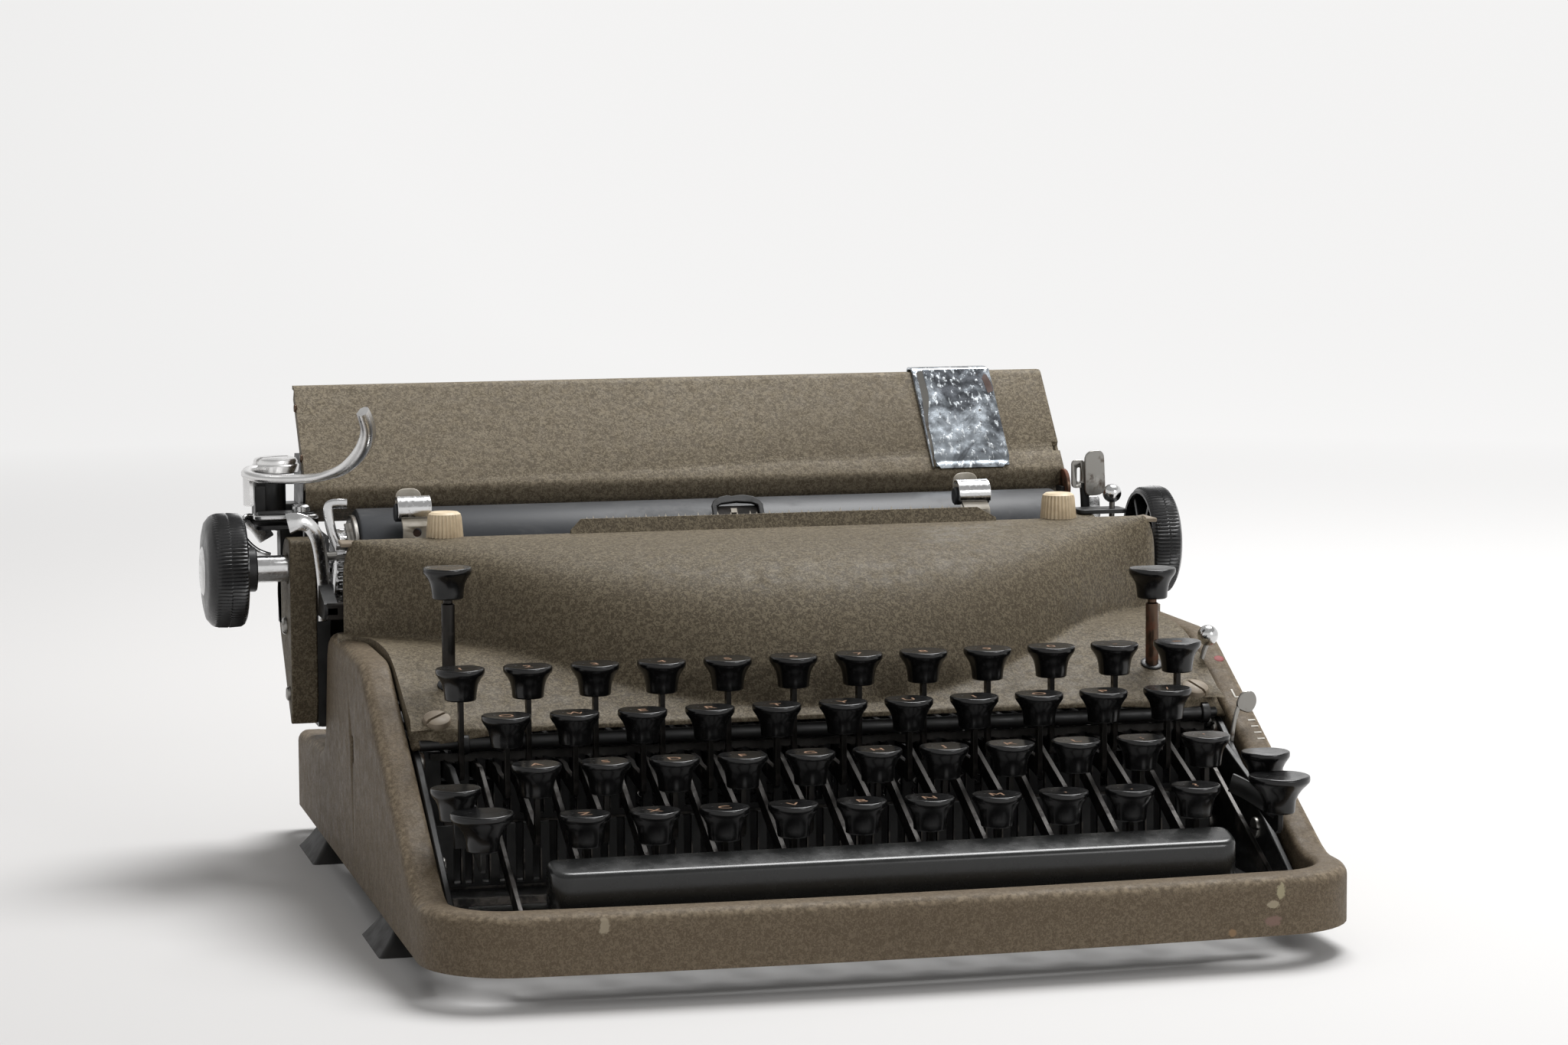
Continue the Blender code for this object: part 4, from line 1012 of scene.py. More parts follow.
def build_cover():
    columns = cover_grid()
    rows = len(columns[0])
    points = [point for column in columns for point in column]
    faces = []
    for column in range(len(columns) - 1):
        for row in range(rows - 1):
            low = column * rows + row
            faces.append([low, low + rows, low + rows + 1, low + 1])
    mesh = make_mesh("cover_shell", (points, faces), 80)
    if sum(face.normal.z for face in mesh.polygons) < 0:
        mesh.flip_normals()
    column_wear = [0.55] * 2 + [0.0] * (rows - 4) + [0.35] * 2
    set_layer(mesh, "wear", "POINT", column_wear * len(columns))
    cover = place_mesh("cover_shell", mesh, olive, "machine", ["ribbon_cover"])
    crease_cover(mesh, columns, rows)
    rounding = cover.modifiers.new("rounding", "SUBSURF")
    rounding.levels = 2
    rounding.render_levels = 2
    wall = cover.modifiers.new("wall", "SOLIDIFY")
    wall.thickness = 1.1 * MM
    wall.offset = -1
    screw_y = 98.6
    for side, x, slot_angle in (("left", -111.7, 35), ("right", 111.7, -60)):
        head = turned_about(screw_head((0, 0, 0), "Z", 1, 3.9, 1.9, slot_angle), "X", APRON_SLOPE)
        piece("cover_screw_" + side, moved(head, (x, screw_y, apron_height(screw_y) - 0.3)), tan_paint,
              "machine")
    lip_place = (0, HOOD_REAR_Y - 1.5, HOOD_TOP + 0.2)
    lip = prism([(-58, -2.0), (-58, 1.0), (-54.5, 4.6), (69.5, 4.6), (75, 1.0), (75, -2.0)], "Y", 0, 0.8)
    piece("cover_lip", moved(turned_about(lip, "X", LIP_TILT), lip_place), olive, "machine", bevel=0.2)
    teeth = []
    for index in range(60):
        start = -53.0 + index * 2.02
        height = 5.5 + 0.5 * math.sin(index * 2.3)
        teeth.append(prism([(start, 3.8), (start + 0.55, height), (start + 1.1, 3.8)], "Y", 0.8, 1.1))
    toothed = turned_about(join(*teeth), "X", LIP_TILT)
    piece("cover_lip_teeth", moved(toothed, lip_place), cut_metal, "machine")


# Keys

def lever_points(row, stem_y, stem_foot, stem_top):
    """A key lever seen from its side: hooked rear eye, bar, slope and stem."""
    bar_top = FULCRUM_Z + 2.5
    bar_bottom = FULCRUM_Z - 2.5
    notch = 2.3
    front = stem_y - 1.3
    rear = stem_y + 1.3
    outline = [
        (FULCRUM_Y - notch, bar_bottom), (FULCRUM_Y - notch, FULCRUM_Z + 1.2),
        (FULCRUM_Y - 1.2, FULCRUM_Z + notch), (FULCRUM_Y + 1.2, FULCRUM_Z + notch),
        (FULCRUM_Y + notch, FULCRUM_Z + 1.2), (FULCRUM_Y + notch, bar_bottom),
        (FULCRUM_Y + 5, bar_bottom), (FULCRUM_Y + 6, bar_bottom + 1), (FULCRUM_Y + 6, FULCRUM_Z + 3),
        (FULCRUM_Y + 4, FULCRUM_Z + 4.3), (FULCRUM_Y - 4, FULCRUM_Z + 4.3), (FULCRUM_Y - 12, bar_top),
    ]
    if row == 0:
        outline += [(rear + 1.5, bar_top), (rear, bar_top + 1.5), (rear, stem_top), (front, stem_top),
                    (front, bar_bottom + 3.0), (front + 1.0, bar_bottom + 0.8), (rear + 2, bar_bottom)]
        return outline
    knee_top = min(bar_top, stem_foot + 5.0)
    outline += [(86, bar_top), (83, bar_top - 1.1), (rear + 0.8, knee_top + 0.6), (rear, knee_top + 1.8),
                (rear, stem_top), (front, stem_top), (front, stem_foot + 3.0), (front + 0.5, stem_foot + 1.0),
                (stem_y + 0.8, stem_foot), (stem_y + 3.0, stem_foot + 0.6), (83, bar_bottom - 0.6),
                (86.5, bar_bottom)]
    return outline


def cap_shape(radius, foot_radius, height, sides=40):
    """A flared cap whose top is scooped from front to rear, its top rim at z = 0."""
    rim = radius
    flare = rim - foot_radius
    scoop = 0.022 * rim
    profile = [(-height, 0), (-height, foot_radius - 0.4), (-height + 0.2, foot_radius - 0.08),
               (-height + 0.5, foot_radius)]
    for drop, spread in ((0.80, 0.02), (0.66, 0.06)):
        profile.append((-height * drop, foot_radius * (1 + spread)))
    for drop, spread in ((0.50, 0.24), (0.36, 0.50), (0.26, 0.76), (0.19, 0.93)):
        profile.append((-height * drop, foot_radius + flare * spread))
    for drop, share in ((0.15, 0.995), (0.12, 1), (0.055, 1), (0.018, 0.985), (0, 0.95)):
        profile.append((-height * drop, rim * share))
    for level, share in ((-0.02, 0.90), (-0.06, 0.72), (-0.10, 0.45), (-0.12, 0.2), (-0.12, 0)):
        profile.append((level, rim * share))
    points, faces = lathe(profile, sides, "Z", (0, 0, 0))
    scooped = []
    for x, y, z in points:
        share = max(0.0, 1 + z / (height * 0.30))
        across = max(0.0, 1 - (x / (rim * 0.62)) ** 2)
        scooped.append((x, y, z - scoop * share * across ** 1.6))
    return scooped, faces


def legend_mesh(text, size):
    """A flat letter as a thin mesh, centred on its own origin, in metres."""
    curve = bpy.data.curves.new("legend", "FONT")
    curve.body = text
    curve.size = size * MM
    curve.extrude = 0.04 * MM
    curve.align_x = "CENTER"
    curve.align_y = "CENTER"
    curve.resolution_u = 3
    holder = bpy.data.objects.new("legend", curve)
    bpy.context.scene.collection.objects.link(holder)
    graph = bpy.context.evaluated_depsgraph_get()
    mesh = bpy.data.meshes.new_from_object(holder.evaluated_get(graph))
    bpy.data.objects.remove(holder, do_unlink=True)
    mesh.name = "legend_mesh"
    return mesh


def key_place(row, index):
    return (KEYBOARD_LEFT + (STAGGER[row] + index) * PITCH, FIRST_ROW_Y - row * ROW_DEPTH,
            FIRST_ROW_TOP - row * ROW_DROP)


def build_keys():
    cap_mesh = make_mesh("key_cap_mesh", cap_shape(6.9, 4.45, 9.0), 60, (0, 0, 0))
    foot_drops = (0.0, 14.5, 13.5, 14.5)
    for row, names in enumerate(ROWS):
        _, stem_y, top = key_place(row, 0)
        stem_foot = top - 9.4 - foot_drops[row]
        outline = lever_points(row, stem_y, stem_foot, top - 5.0)
        hook = rod("Z", (0, 161.0, 0), 0.35, 39.6, 46.0, 8)
        lever_shape = join(prism(outline, "X", -0.7, 0.7), hook)
        lever = make_mesh("key_lever_mesh_%d" % row, lever_shape, 35, (0, stem_y, top))
        for index, (name, letter) in enumerate(names):
            place = key_place(row, index)
            body = "key_" + name
            place_mesh("key_cap_" + name, cap_mesh, key_black, body, [body], location=place)
            place_mesh("key_lever_" + name, lever, dark_steel, body, bevel=0.16, bevel_steps=1,
                       location=place)
            letter_mesh = legend_mesh(letter, 5.6)
            place_mesh("key_legend_" + name, letter_mesh, legend_ink, body,
                       location=(place[0], place[1] - 0.1, place[2] - 0.24))
    shift_cap = make_mesh("shift_cap_mesh", cap_shape(8.6, 4.4, 10.6), 60, (0, 0, 0))
    for side, x in zip(("left", "right"), SHIFT_ARMS):
        place_mesh("shift_cap_" + side, shift_cap, key_black, "shift_bail",
                   ["shift_bail"] if side == "left" else (), location=(x, 36, 46))
    for side, x in zip(("left", "right"), SHIFT_LOCKS):
        place_mesh("shift_lock_cap_" + side, cap_mesh, key_black, "shift_bail", location=(x, 50.5, 50.5))
    build_shift_levers()
    build_tall_keys(cap_mesh)


def build_shift_levers():
    shapes = []
    for shift_x, lock_x in zip(SHIFT_ARMS, SHIFT_LOCKS):
        outline = lever_points(2, 36.0, 46 - 9.4 - 7.25, 46 - 4.0)
        shapes.append(prism(outline, "X", shift_x - 0.8, shift_x + 0.8))
        low, high = sorted((shift_x, lock_x))
        shapes.append(block((low - 0.8, high + 0.8), (49.2, 51.8), (33.9, 45.5)))
        shapes.append(block((shift_x - 0.8, shift_x + 0.8), (147, 153), (33, 47.5)))
    shapes.append(block(SHIFT_ARMS, (147, 153), (33, 36)))
    piece("shift_levers", join(*shapes), chassis_black, "shift_bail", bevel=0.2, bevel_steps=1)
    strip("right_shift_arm", (1.4, 5.4, 0.3),
          [(105.0, 48.0, 42.4), (107.5, 45.2, 41.2), (110.0, 42.5, 39.6), (115.4, 37.6, 35.6)],
          (0, 0, 1), chassis_black, "shift_bail", 4)


def build_tall_keys(cap_mesh):
    for name, x, y, top, material in (("tabulator_key", -105.5, 115, 102.6, dark_steel),
                                      ("margin_release_key", 103, 112, 96.0, rusty_steel)):
        place_mesh(name + "_cap", cap_mesh, key_black, name, [name], location=(x, y, top))
        stem = lathe([(57.5, 0), (57.5, 1.7), (58, 1.9), (top - 10.6, 1.9), (top - 10.2, 1.3),
                      (top - 8.0, 1.3), (top - 8.0, 0)], 24, "Z", (x, y, 0))
        piece(name + "_rod", stem, material, name)
        ring = lathe([(-0.4, 1.9), (-0.4, 3.3), (0.25, 3.3), (0.45, 3.0), (0.45, 1.9), (-0.4, 1.9)], 28, "Z",
                     (0, 0, 0))
        piece(name + "_bush", moved(turned_about(ring, "X", APRON_SLOPE), (x, y, apron_height(y) + 0.1)),
              chassis_black, "machine")


def build_space_bar():
    """The bar is a rounded block whose top rises to the rear."""
    half = 95.0
    front = 12.3
    rear = 23.8
    foot = 20.0
    top = 32.4
    rise = 2.5
    points = []
    levels = ((foot, 0.7), (foot + 0.7, 0.0), (top - 1.5, 0.0), (top - 0.95, 0.13), (top - 0.42, 0.50),
              (top - 0.1, 1.0), (top, 1.6))
    for level, inset in levels:
        low = front + inset
        high = rear - inset * 0.5
        side = half - inset
        corners = rounded_outline([(-side, low), (side, low), (side, high), (-side, high)],
                                  [6.5, 6.5, 2.5, 2.5], 7)
        for x, y in corners:
            lift = rise * (y - front) / (rear - front) if level > top - 2 else 0.0
            points.append((x, y, level + lift))
    bar = (points, tube_faces(len(corners), len(levels)))
    piece("space_bar_body", bar, bar_black, "space_bar", ["space_bar"], sharp=50)
    shapes = []
    for arm_x in SPACE_BAR_ARMS:
        outline = lever_points(3, 18.05, 14.0, 20.0)
        shapes.append(prism(outline, "X", arm_x - 0.7, arm_x + 0.7))
    shapes.append(block((-102.24, 108.71), (15.05, 21.05), (14.0, 20.4)))
    piece("space_bar_bail", join(*shapes), dark_steel, "space_bar", bevel=0.2, bevel_steps=1)


# Chassis

def build_chassis():
    side_outline = [(26, 12), (268, 12), (268, 36), (207, 36), (195, 55.5), (131, 55.5), (101, 55.5),
                    (92, 51.5), (34, 18.5), (26, 18.5)]
    for side, direction in (("left", -1), ("right", 1)):
        x_range = sorted((direction * 117.0, direction * 119.0))
        piece("side_plate_" + side, prism(side_outline, "X", *x_range), chassis_black, "machine",
              ["chassis"] if side == "left" else (), bevel=0.4)
        screws = []
        for y, z in ((97, 50), (60, 27), (100, 22), (150, 40)):
            screws.append(screw_head((direction * 117.0, y, z), "X", -direction, 3.0, 1.2, 30 + y))
        piece("side_plate_screws_" + side, join(*screws), steel, "machine")
        for end, front in (("front", 73.0), ("rear", 216.0)):
            build_foot(side, direction, end, front)
    key_xs = [key_place(row, index)[0] for row, names in enumerate(ROWS) for index in range(len(names))]
    build_combs([*key_xs, *SPACE_BAR_ARMS, *SHIFT_ARMS])
    cross_rod = (0, 95.7, 55.0)
    piece("front_cross_rod", rod("X", cross_rod, 2.1, -104, 113.5, 28), chassis_black, "machine")
    piece("fulcrum_rod", rod("X", (0, 190, 47.5), 2.0, -117.2, 117.2), steel, "machine")
    collars = [rod("X", cross_rod, 3.0, x - 1.2, x + 1.2, 24) for x in (-104.5, 113.5)]
    piece("cross_rod_collars", join(*collars, rod("X", cross_rod, 1.5, -117.2, 117.2)), chassis_black,
          "machine")
    beams = join(block((-117.4, 117.4), (208, 214), (28, 43.7)),
                 block((-117.4, 117.4), (256, 262), (28, 43.7)),
                 block((-117.4, 117.4), (165, 177), (12, 15)))
    piece("cross_beams", beams, chassis_black, "machine", bevel=0.5)
    springs = [coil((x, 167, 15.5), (x, 161.2, 41.4), 1.5, 0.28, 9, 5) for x in key_xs]
    piece("key_springs", join(*springs), dark_steel, "machine")
    build_basket()


def comb_outline(slots, left, right, top, slot_bottom, bottom):
    outline = [(left, top), (left, bottom), (right, bottom), (right, top)]
    for slot in sorted(slots, reverse=True):
        if slot + 2.2 < right:
            outline += [(slot + 1.1, top), (slot + 0.95, slot_bottom), (slot - 0.95, slot_bottom),
                        (slot - 1.1, top)]
    return outline


def build_combs(slots):
    """The rear comb and the low front comb under the key levers, with their rubbed edges."""
    rear = comb_outline(slots, -117.6, 117.6, 52.5, 33.9, 15.5)
    piece("comb", prism(rear, "Y", 99.5, 101.1), chassis_black, "machine", bevel=0.12, bevel_steps=1)
    front = comb_outline(slots, -117.6, 109.5, 35.0, 18.5, 15.2)
    piece("front_comb", prism(front, "Y", 79.0, 80.6), chassis_black, "machine", bevel=0.12, bevel_steps=1)
    edges = []
    for slot in sorted(slots):
        edges.append(block((slot + 1.02, slot + 1.30), (99.34, 99.5), (34.4, 40.0)))
        if slot < 107:
            edges.append(block((slot + 1.0, slot + 1.42), (78.84, 79.0), (19.0, 27.5)))
    piece("comb_worn_edges", join(*edges), comb_edge, "machine")
    ledge = [block((-117.6, 109.5), (64.0, 79.2), (15.2, 16.6)),
             block((109.0, 117.6), (79.0, 83.0), (15.2, 16.8))]
    piece("front_comb_ledge", join(*ledge), chassis_black, "machine", bevel=0.3)
    piece("front_comb_lip", block((-114.0, 108.5), (63.7, 66.0), (15.0, 17.4)), comb_edge, "machine",
          bevel=0.4)
    rib = join(block((-110, 113), (98.6, 99.5), (31.6, 32.4)),
               block((-113.5, 108.5), (78.5, 79.0), (17.0, 17.8)))
    piece("comb_ribs", rib, comb_edge, "machine", bevel=0.15, bevel_steps=1)
    felt_top = []
    felt_bottom = []
    steps = 232
    for step in range(steps + 1):
        x = -114.0 + 228.0 * step / steps
        wave = math.sin(x * 0.43) + 0.6 * math.sin(x * 1.31 + 1.0) + 0.4 * math.sin(x * 2.9)
        felt_top.append((x, 52.2 + 0.12 * wave))
        felt_bottom.append((x, 50.1 + 0.42 * wave))
    piece("comb_felt", prism(felt_top + felt_bottom[::-1], "Y", 96.9, 98.9), felt_grey, "machine")
    rear_outline = [(-117.2, 12.4), (117.2, 12.4), (117.2, 51.5), (-117.2, 51.5)]
    piece("rear_lever_plate", prism(rear_outline, "Y", 197.0, 198.5), chassis_black, "machine", bevel=0.2)


def build_foot(side, direction, end, front):
    length = 36.0
    inner = 100.0
    outer = 132.5
    inset = 6.0
    rear = front + length
    top = 8.2
    levels = ((0.0, 0.0), (1.0, 0.15), (top * 0.5, 0.55), (top, 1.0))
    points = []
    for z, share in levels:
        cut = inset * share
        outline = rounded_outline([(inner + cut, front + cut), (outer - cut, front + cut),
                                   (outer - cut, rear - cut), (inner + cut, rear - cut)], 1.6, 3)
        points += [(direction * x, y, z) for x, y in outline]
    foot = (points, tube_faces(len(outline), len(levels)))
    piece("foot_%s_%s" % (end, side), foot, foot_black, "machine", sharp=50)
    x_range = sorted((direction * 105.6, direction * 127.2))
    piece("foot_plate_%s_%s" % (end, side), block(x_range, (front + 5.4, rear - 5.4), (8.0, 8.46)), bright,
          "machine",
          bevel=0.15)
    pad = block(sorted((direction * 106.4, direction * 126.2)), (front + 6.6, rear - 6.6), (8.46, 14.4))
    piece("foot_pad_%s_%s" % (end, side), pad, chassis_black, "machine", bevel=0.5)


def lean_on_platen(shape):
    """Turns an upright plate about its top edge so that it lies along the platen's front, 1 mm off it."""
    top_z = 110.9
    back_y = 206.4
    sine = 0.643
    cosine = 0.766
    leaning = []
    for x, y, z in shape[0]:
        fall = z - top_z
        depth = y - back_y
        leaning.append((x, 206.0 + sine * fall + cosine * depth, top_z + cosine * fall - sine * depth))
    return leaning, shape[1]


def build_basket():
    """Type bars in their segment under the hood, and the type guide in front of the platen."""
    bars = []
    for index in range(44):
        angle = math.radians(-64 + 128 * index / 43)
        start = Vector((0, 186, 66))
        end = start + Vector((78 * math.sin(angle), -52 * math.cos(angle) - 12, -6))
        bars.append(sweep(flat_section(0.9, 3.2, 0.2), [start + (end - start) * 0.16, end], (0, 0, 1)))
        tip = end + (end - start).normalized() * 2.0
        bars.append(block((tip.x - 1.3, tip.x + 1.3), (tip.y - 1.4, tip.y + 1.4), (tip.z - 2.2, tip.z + 3.6)))
    piece("type_bars", join(*bars), steel, "machine")
    arc = []
    for degrees in range(-90, 91, 10):
        angle = math.radians(degrees)
        arc.append((18 * math.sin(angle), 186 - 14 * math.cos(angle), 65.5))
    piece("type_segment", sweep(flat_section(9.0, 6.0, 0.5), arc, (0, 0, 1)), chassis_black, "machine")
    piece("segment_block", block((-26, 26), (183.5, 188.0), (53.5, 72)), chassis_black, "machine", bevel=0.6)
    piece("segment_feet", join(block((-24, -19), (182, 188), (15, 54)), block((19, 24), (182, 188), (15, 54)),
                               block((-24, 24), (176, 188), (12.5, 15.4))), chassis_black, "machine",
          bevel=0.4)
    arch = [(-9.2, 96.0), (-9.2, 107.4), (-8.4, 109.0), (-6.4, 110.3), (-3.8, 110.9), (-2.4, 110.5),
            (-1.0, 110.8), (1.4, 110.9), (4.4, 110.2), (6.2, 108.9), (7.0, 107.2), (7.0, 96.0), (5.6, 96.0),
            (5.4, 107.0), (3.6, 107.9), (-1.2, 108.4), (-6.0, 107.9), (-7.6, 107.0),
            (-7.8, 96.0)]
    frame_plate = lean_on_platen(prism(arch, "Y", 205.2, 206.4))
    back = lean_on_platen(block((-8.0, 5.8), (206.4, 206.8), (97.0, 107.6)))
    post = block((-5.2, 2.8), (187.6, 195.0), (66, 70.4))
    piece("type_guide", join(frame_plate, post, block((-9.2, 7.0), (194.6, 196.0), (66.0, 100.2))),
          chassis_black, "machine", bevel=0.25)
    piece("type_guide_back", back, dark_steel, "machine", bevel=0.1, bevel_steps=1)
    window = lean_on_platen(block((-3.2, -1.3), (206.0, 206.5), (104.8, 106.4)))
    piece("type_guide_window", window, cut_metal, "machine")


# Carriage

def along_carriage(low, high):
    return (CARRIAGE_X + low, CARRIAGE_X + high)


def plate_outline():
    """A carriage side plate, seen from its side."""
    return [(207.5, 44), (268, 44), (268, 74.7), (257.5, 124), (236, 117.3), (237.8, 106.5), (237.8, 102.2),
            (207.5, 102.2), (207.5, 89), (190, 84), (190, 79), (207.5, 78.7)]


def end_cover_outline():
    shares = ((0.0, 1.0), (0.40, 1.0), (0.58, 0.84), (1.0, 0.70), (0.80, 0.48), (0.52, 0.30),
              (0.20, 0.08), (0.08, 0.0), (0.0, 0.14))
    corners = [(207.5 + along * 36, 44 + up * 57.5) for along, up in shares]
    return rounded_outline(corners, [3.0, 6.0, 6.0, 8.0, 6.0, 6.0, 3.0, 2.0, 2.0], 4)


def build_carriage_frame():
    left = -118.5
    right = 121.1
    shaft_hole = rod("X", PLATEN_CENTRE, 4.7, -160, 160, 28, 0.1)
    for side, facing, end in (("left", -1, left), ("right", 1, right)):
        plate_range = along_carriage(*sorted((end, end - facing * 4)))
        plate = prism(rounded_outline(plate_outline(), 1.5, 2), "X", *plate_range)
        plate = piece("carriage_plate_" + side, plate, chassis_black, "carriage",
                      ["carriage_frame"] if side == "left" else ())
        cut_from(plate, shaft_hole)
        outer = end + facing * 8
        cover_range = along_carriage(*sorted((end, outer)))
        cover = prism(end_cover_outline(), "X", *cover_range)
        cover = piece("carriage_end_cover_" + side, cover, olive, "carriage")
        cut_from(cover, shaft_hole)
        round_edges(cover, 1.6, 3)
        screws = join(screw_head((CARRIAGE_X + outer, 219, 74), "X", facing, 2.6, 1.2, 40),
                      screw_head((CARRIAGE_X + outer, 213, 54), "X", facing, 2.2, 1.0, -30))
        piece("end_cover_screws_" + side, screws, steel, "carriage")
    rails = [block(along_carriage(left + 0.5, right - 0.5), (208, 214), (44, 50)),
             block(along_carriage(left + 0.5, right - 0.5), (256, 262), (44, 56))]
    piece("carriage_rails", join(*rails), dark_steel, "carriage", bevel=0.5)
    piece("carriage_front_rail", block(along_carriage(left + 0.5, right - 0.5), (190, 195), (79, 84)),
          dark_steel, "carriage",
          bevel=0.6)
    teeth = [(left + 6, 0)]
    count = 100
    pitch = (right - left - 14) / count
    for index in range(count):
        start = left + 7 + index * pitch
        teeth += [(start, 3.4), (start + pitch * 0.25, 5.0), (start + pitch * 0.6, 5.0),
                  (start + pitch * 0.85, 3.4)]
    teeth.append((right - 6, 0))
    rack = prism([(CARRIAGE_X + x, 61.5 + z) for x, z in teeth], "Y", 251.2, 252.8)
    piece("carriage_rack", rack, steel, "carriage")
    piece("carriage_rack_arms", join(block(along_carriage(left + 3.5, left + 9), (250.6, 257), (60, 64.5)),
                                     block(along_carriage(right - 9, right - 3.5), (250.6, 257), (60, 64.5))),
          chassis_black, "carriage", bevel=0.4)
    piece("margin_bar", rod("X", (CARRIAGE_X, 262, 82), 2.0, left + 2, right - 2, 20), bright, "carriage")
    stops = []
    for x in (-92.0, 88.0):
        stops.append(block(along_carriage(x - 5, x + 5), (257.6, 266.4), (78.4, 88)))
        stops.append(block(along_carriage(x - 2.2, x + 2.2), (260, 264), (88, 95)))
    piece("margin_stops", join(*stops), steel, "carriage", bevel=0.7)
    column = [(104.0, 0), (104.0, 4.6), (105.0, 5.0), (117.6, 5.0), (118.2, 4.4), (118.2, 2.6), (119.4, 2.6),
              (119.4, 0)]
    bracket = [lathe(column, 36, "Z", (-141.0, 240.0, 0)),
               block((-146.0, -139.6), (235.4, 245.5), (104.0, 115.6)),
               block((-139, -131.9), (231, 239.9), (72.7, 104.6)),
               block((-139.8, -131.9), (238.5, 248.5), (101.2, 109.4))]
    piece("lever_bracket", join(*bracket), chassis_black, "carriage", bevel=0.6, bevel_steps=2)
    piece("release_link_block", block((-127.2, -115.0), (240, 243), (57, 84)), chassis_black, "carriage",
          bevel=0.4)


CREASE_Y = 225.0
CREASE_Z = 114.5
TABLE_RUN = 27.0
TABLE_RISE = 30.3
TABLE_HALF = 121.5
TABLE_X = CARRIAGE_X + 2.5
GUIDE_LEFT = 68.0
GUIDE_RIGHT = 93.4


def build_paper_table():
    top_y = CREASE_Y + TABLE_RUN
    top_z = CREASE_Z + TABLE_RISE
    thickness = 1.2
    line = [(235.0, 104.0), (227.0, 109.0), (CREASE_Y, CREASE_Z), (top_y, top_z), (top_y + 4, top_z)]
    outline = sheet_outline(rounded_line(line, 1.6, 4), thickness)
    # The table's sheet and flanges take the lit copy of the olive enamel, painted lighter than the cover.
    sheet = piece("paper_table_sheet", prism(outline, "X", TABLE_X - TABLE_HALF, TABLE_X + TABLE_HALF),
                  olive_table_lit, "carriage", ["paper_table"])
    notch_place = Vector((TABLE_RUN, TABLE_RISE)).normalized() * 9.5
    notch = rod("X", (0, CREASE_Y + notch_place.x, CREASE_Z + notch_place.y), 1.7,
                TABLE_X + TABLE_HALF - 2.2, TABLE_X + TABLE_HALF + 4, 16, 0.1)
    cut_from(sheet, notch)
    wear = []
    for vertex in sheet.data.vertices:
        high = vertex.co.z / MM > top_z - 1.8
        edge = abs(abs(vertex.co.x / MM - MACHINE_OFFSET.x - TABLE_X) - TABLE_HALF) < 0.5
        wear.append(0.5 if edge else (0.35 if high else 0.0))
    set_layer(sheet.data, "wear", "POINT", wear)
    round_edges(sheet, 0.3, 2, 50)
    flange = [table_place(0.04, 1.0), table_place(0.985, 1.0), table_place(0.96, 4.6), table_place(0.08, 4.6)]
    for side, direction in (("left", -1), ("right", 1)):
        inner = TABLE_X + direction * (TABLE_HALF - thickness)
        outer = TABLE_X + direction * TABLE_HALF
        piece("paper_table_flange_" + side, prism(flange, "X", *sorted((inner, outer))), olive_table_lit,
              "carriage",
              bevel=0.3)
    rivets = []
    for share in (0.32, 0.80):
        y = CREASE_Y + TABLE_RUN * share
        z = CREASE_Z + TABLE_RISE * share
        rivets.append(rod("X", (TABLE_X - TABLE_HALF, y + 0.4, z - 0.4), 1.3, -0.7, 0.3, 14, 0.3))
    piece("paper_table_rivets", join(*rivets), rusty_steel, "carriage")
    ribs = []
    for x in (-84, 0, 84):
        start = Vector((TABLE_X + x, CREASE_Y + 3.5, CREASE_Z - 0.4))
        end = Vector((TABLE_X + x, top_y + 1.2, top_z - 2.2))
        ribs.append(sweep(flat_section(7, 0.9, 0.3), [start, end], (0, 0, 1)))
    piece("paper_table_ribs", join(*ribs), chassis_black, "carriage")
    stay_line = ((236, 104.6), (246, 96), (256, 80), (259, 55))
    stays = [wire([(TABLE_X + x, y, z) for y, z in stay_line], 1.6, 10) for x in (-70, 70)]
    piece("paper_table_stays", join(*stays), dark_steel, "carriage")


def table_place(share, depth):
    """A point on the table's face in shares of its run, with the distance behind the face."""
    along = Vector((TABLE_RUN, TABLE_RISE))
    normal = Vector((along.y, -along.x)).normalized()
    place = Vector((CREASE_Y, CREASE_Z)) + along * share + normal * depth
    return (place.x, place.y)


def build_paper_guide():
    top_y = CREASE_Y + TABLE_RUN
    top_z = CREASE_Z + TABLE_RISE
    line = [table_place(0.05, -0.35), table_place(0.97, -0.35), (top_y + 0.3, top_z + 0.75),
            (top_y + 5.0, top_z + 0.75), (top_y + 5.0, top_z - 5.2)]
    outline = sheet_outline(rounded_line(line, 0.8, 3), -0.75)
    hook = piece("paper_guide_hook", prism(outline, "X", GUIDE_LEFT, GUIDE_RIGHT), guide_plate, "paper_guide",
                 ["paper_guide"])
    round_edges(hook, 0.25, 2, 50)
    steps = 24
    margin = []
    for step in range(steps + 1):
        share = step / steps
        margin.append(0.35 + 3.6 * share ** 1.25 + 0.55 * math.sin(share * 11.0) * (0.3 + share))
    build_guide_face(margin, steps)
    build_guide_flange(margin, steps)
    patch = []
    for along, x in ((0.74, 91.2), (0.90, 90.4), (0.945, 91.4), (0.93, 92.2), (0.86, 93.0), (0.76, 93.2)):
        y, z = table_place(guide_share(along), -2.36)
        patch.append((x, y, z))
    under = [(x, y + 0.04, z - 0.04) for x, y, z in patch]
    piece("paper_guide_rust", (patch + under, tube_faces(len(patch), 2)), rust_patch, "paper_guide")


def guide_share(share):
    """A share of the side guide's face as a share of the paper table's run."""
    return 0.035 + 0.945 * share


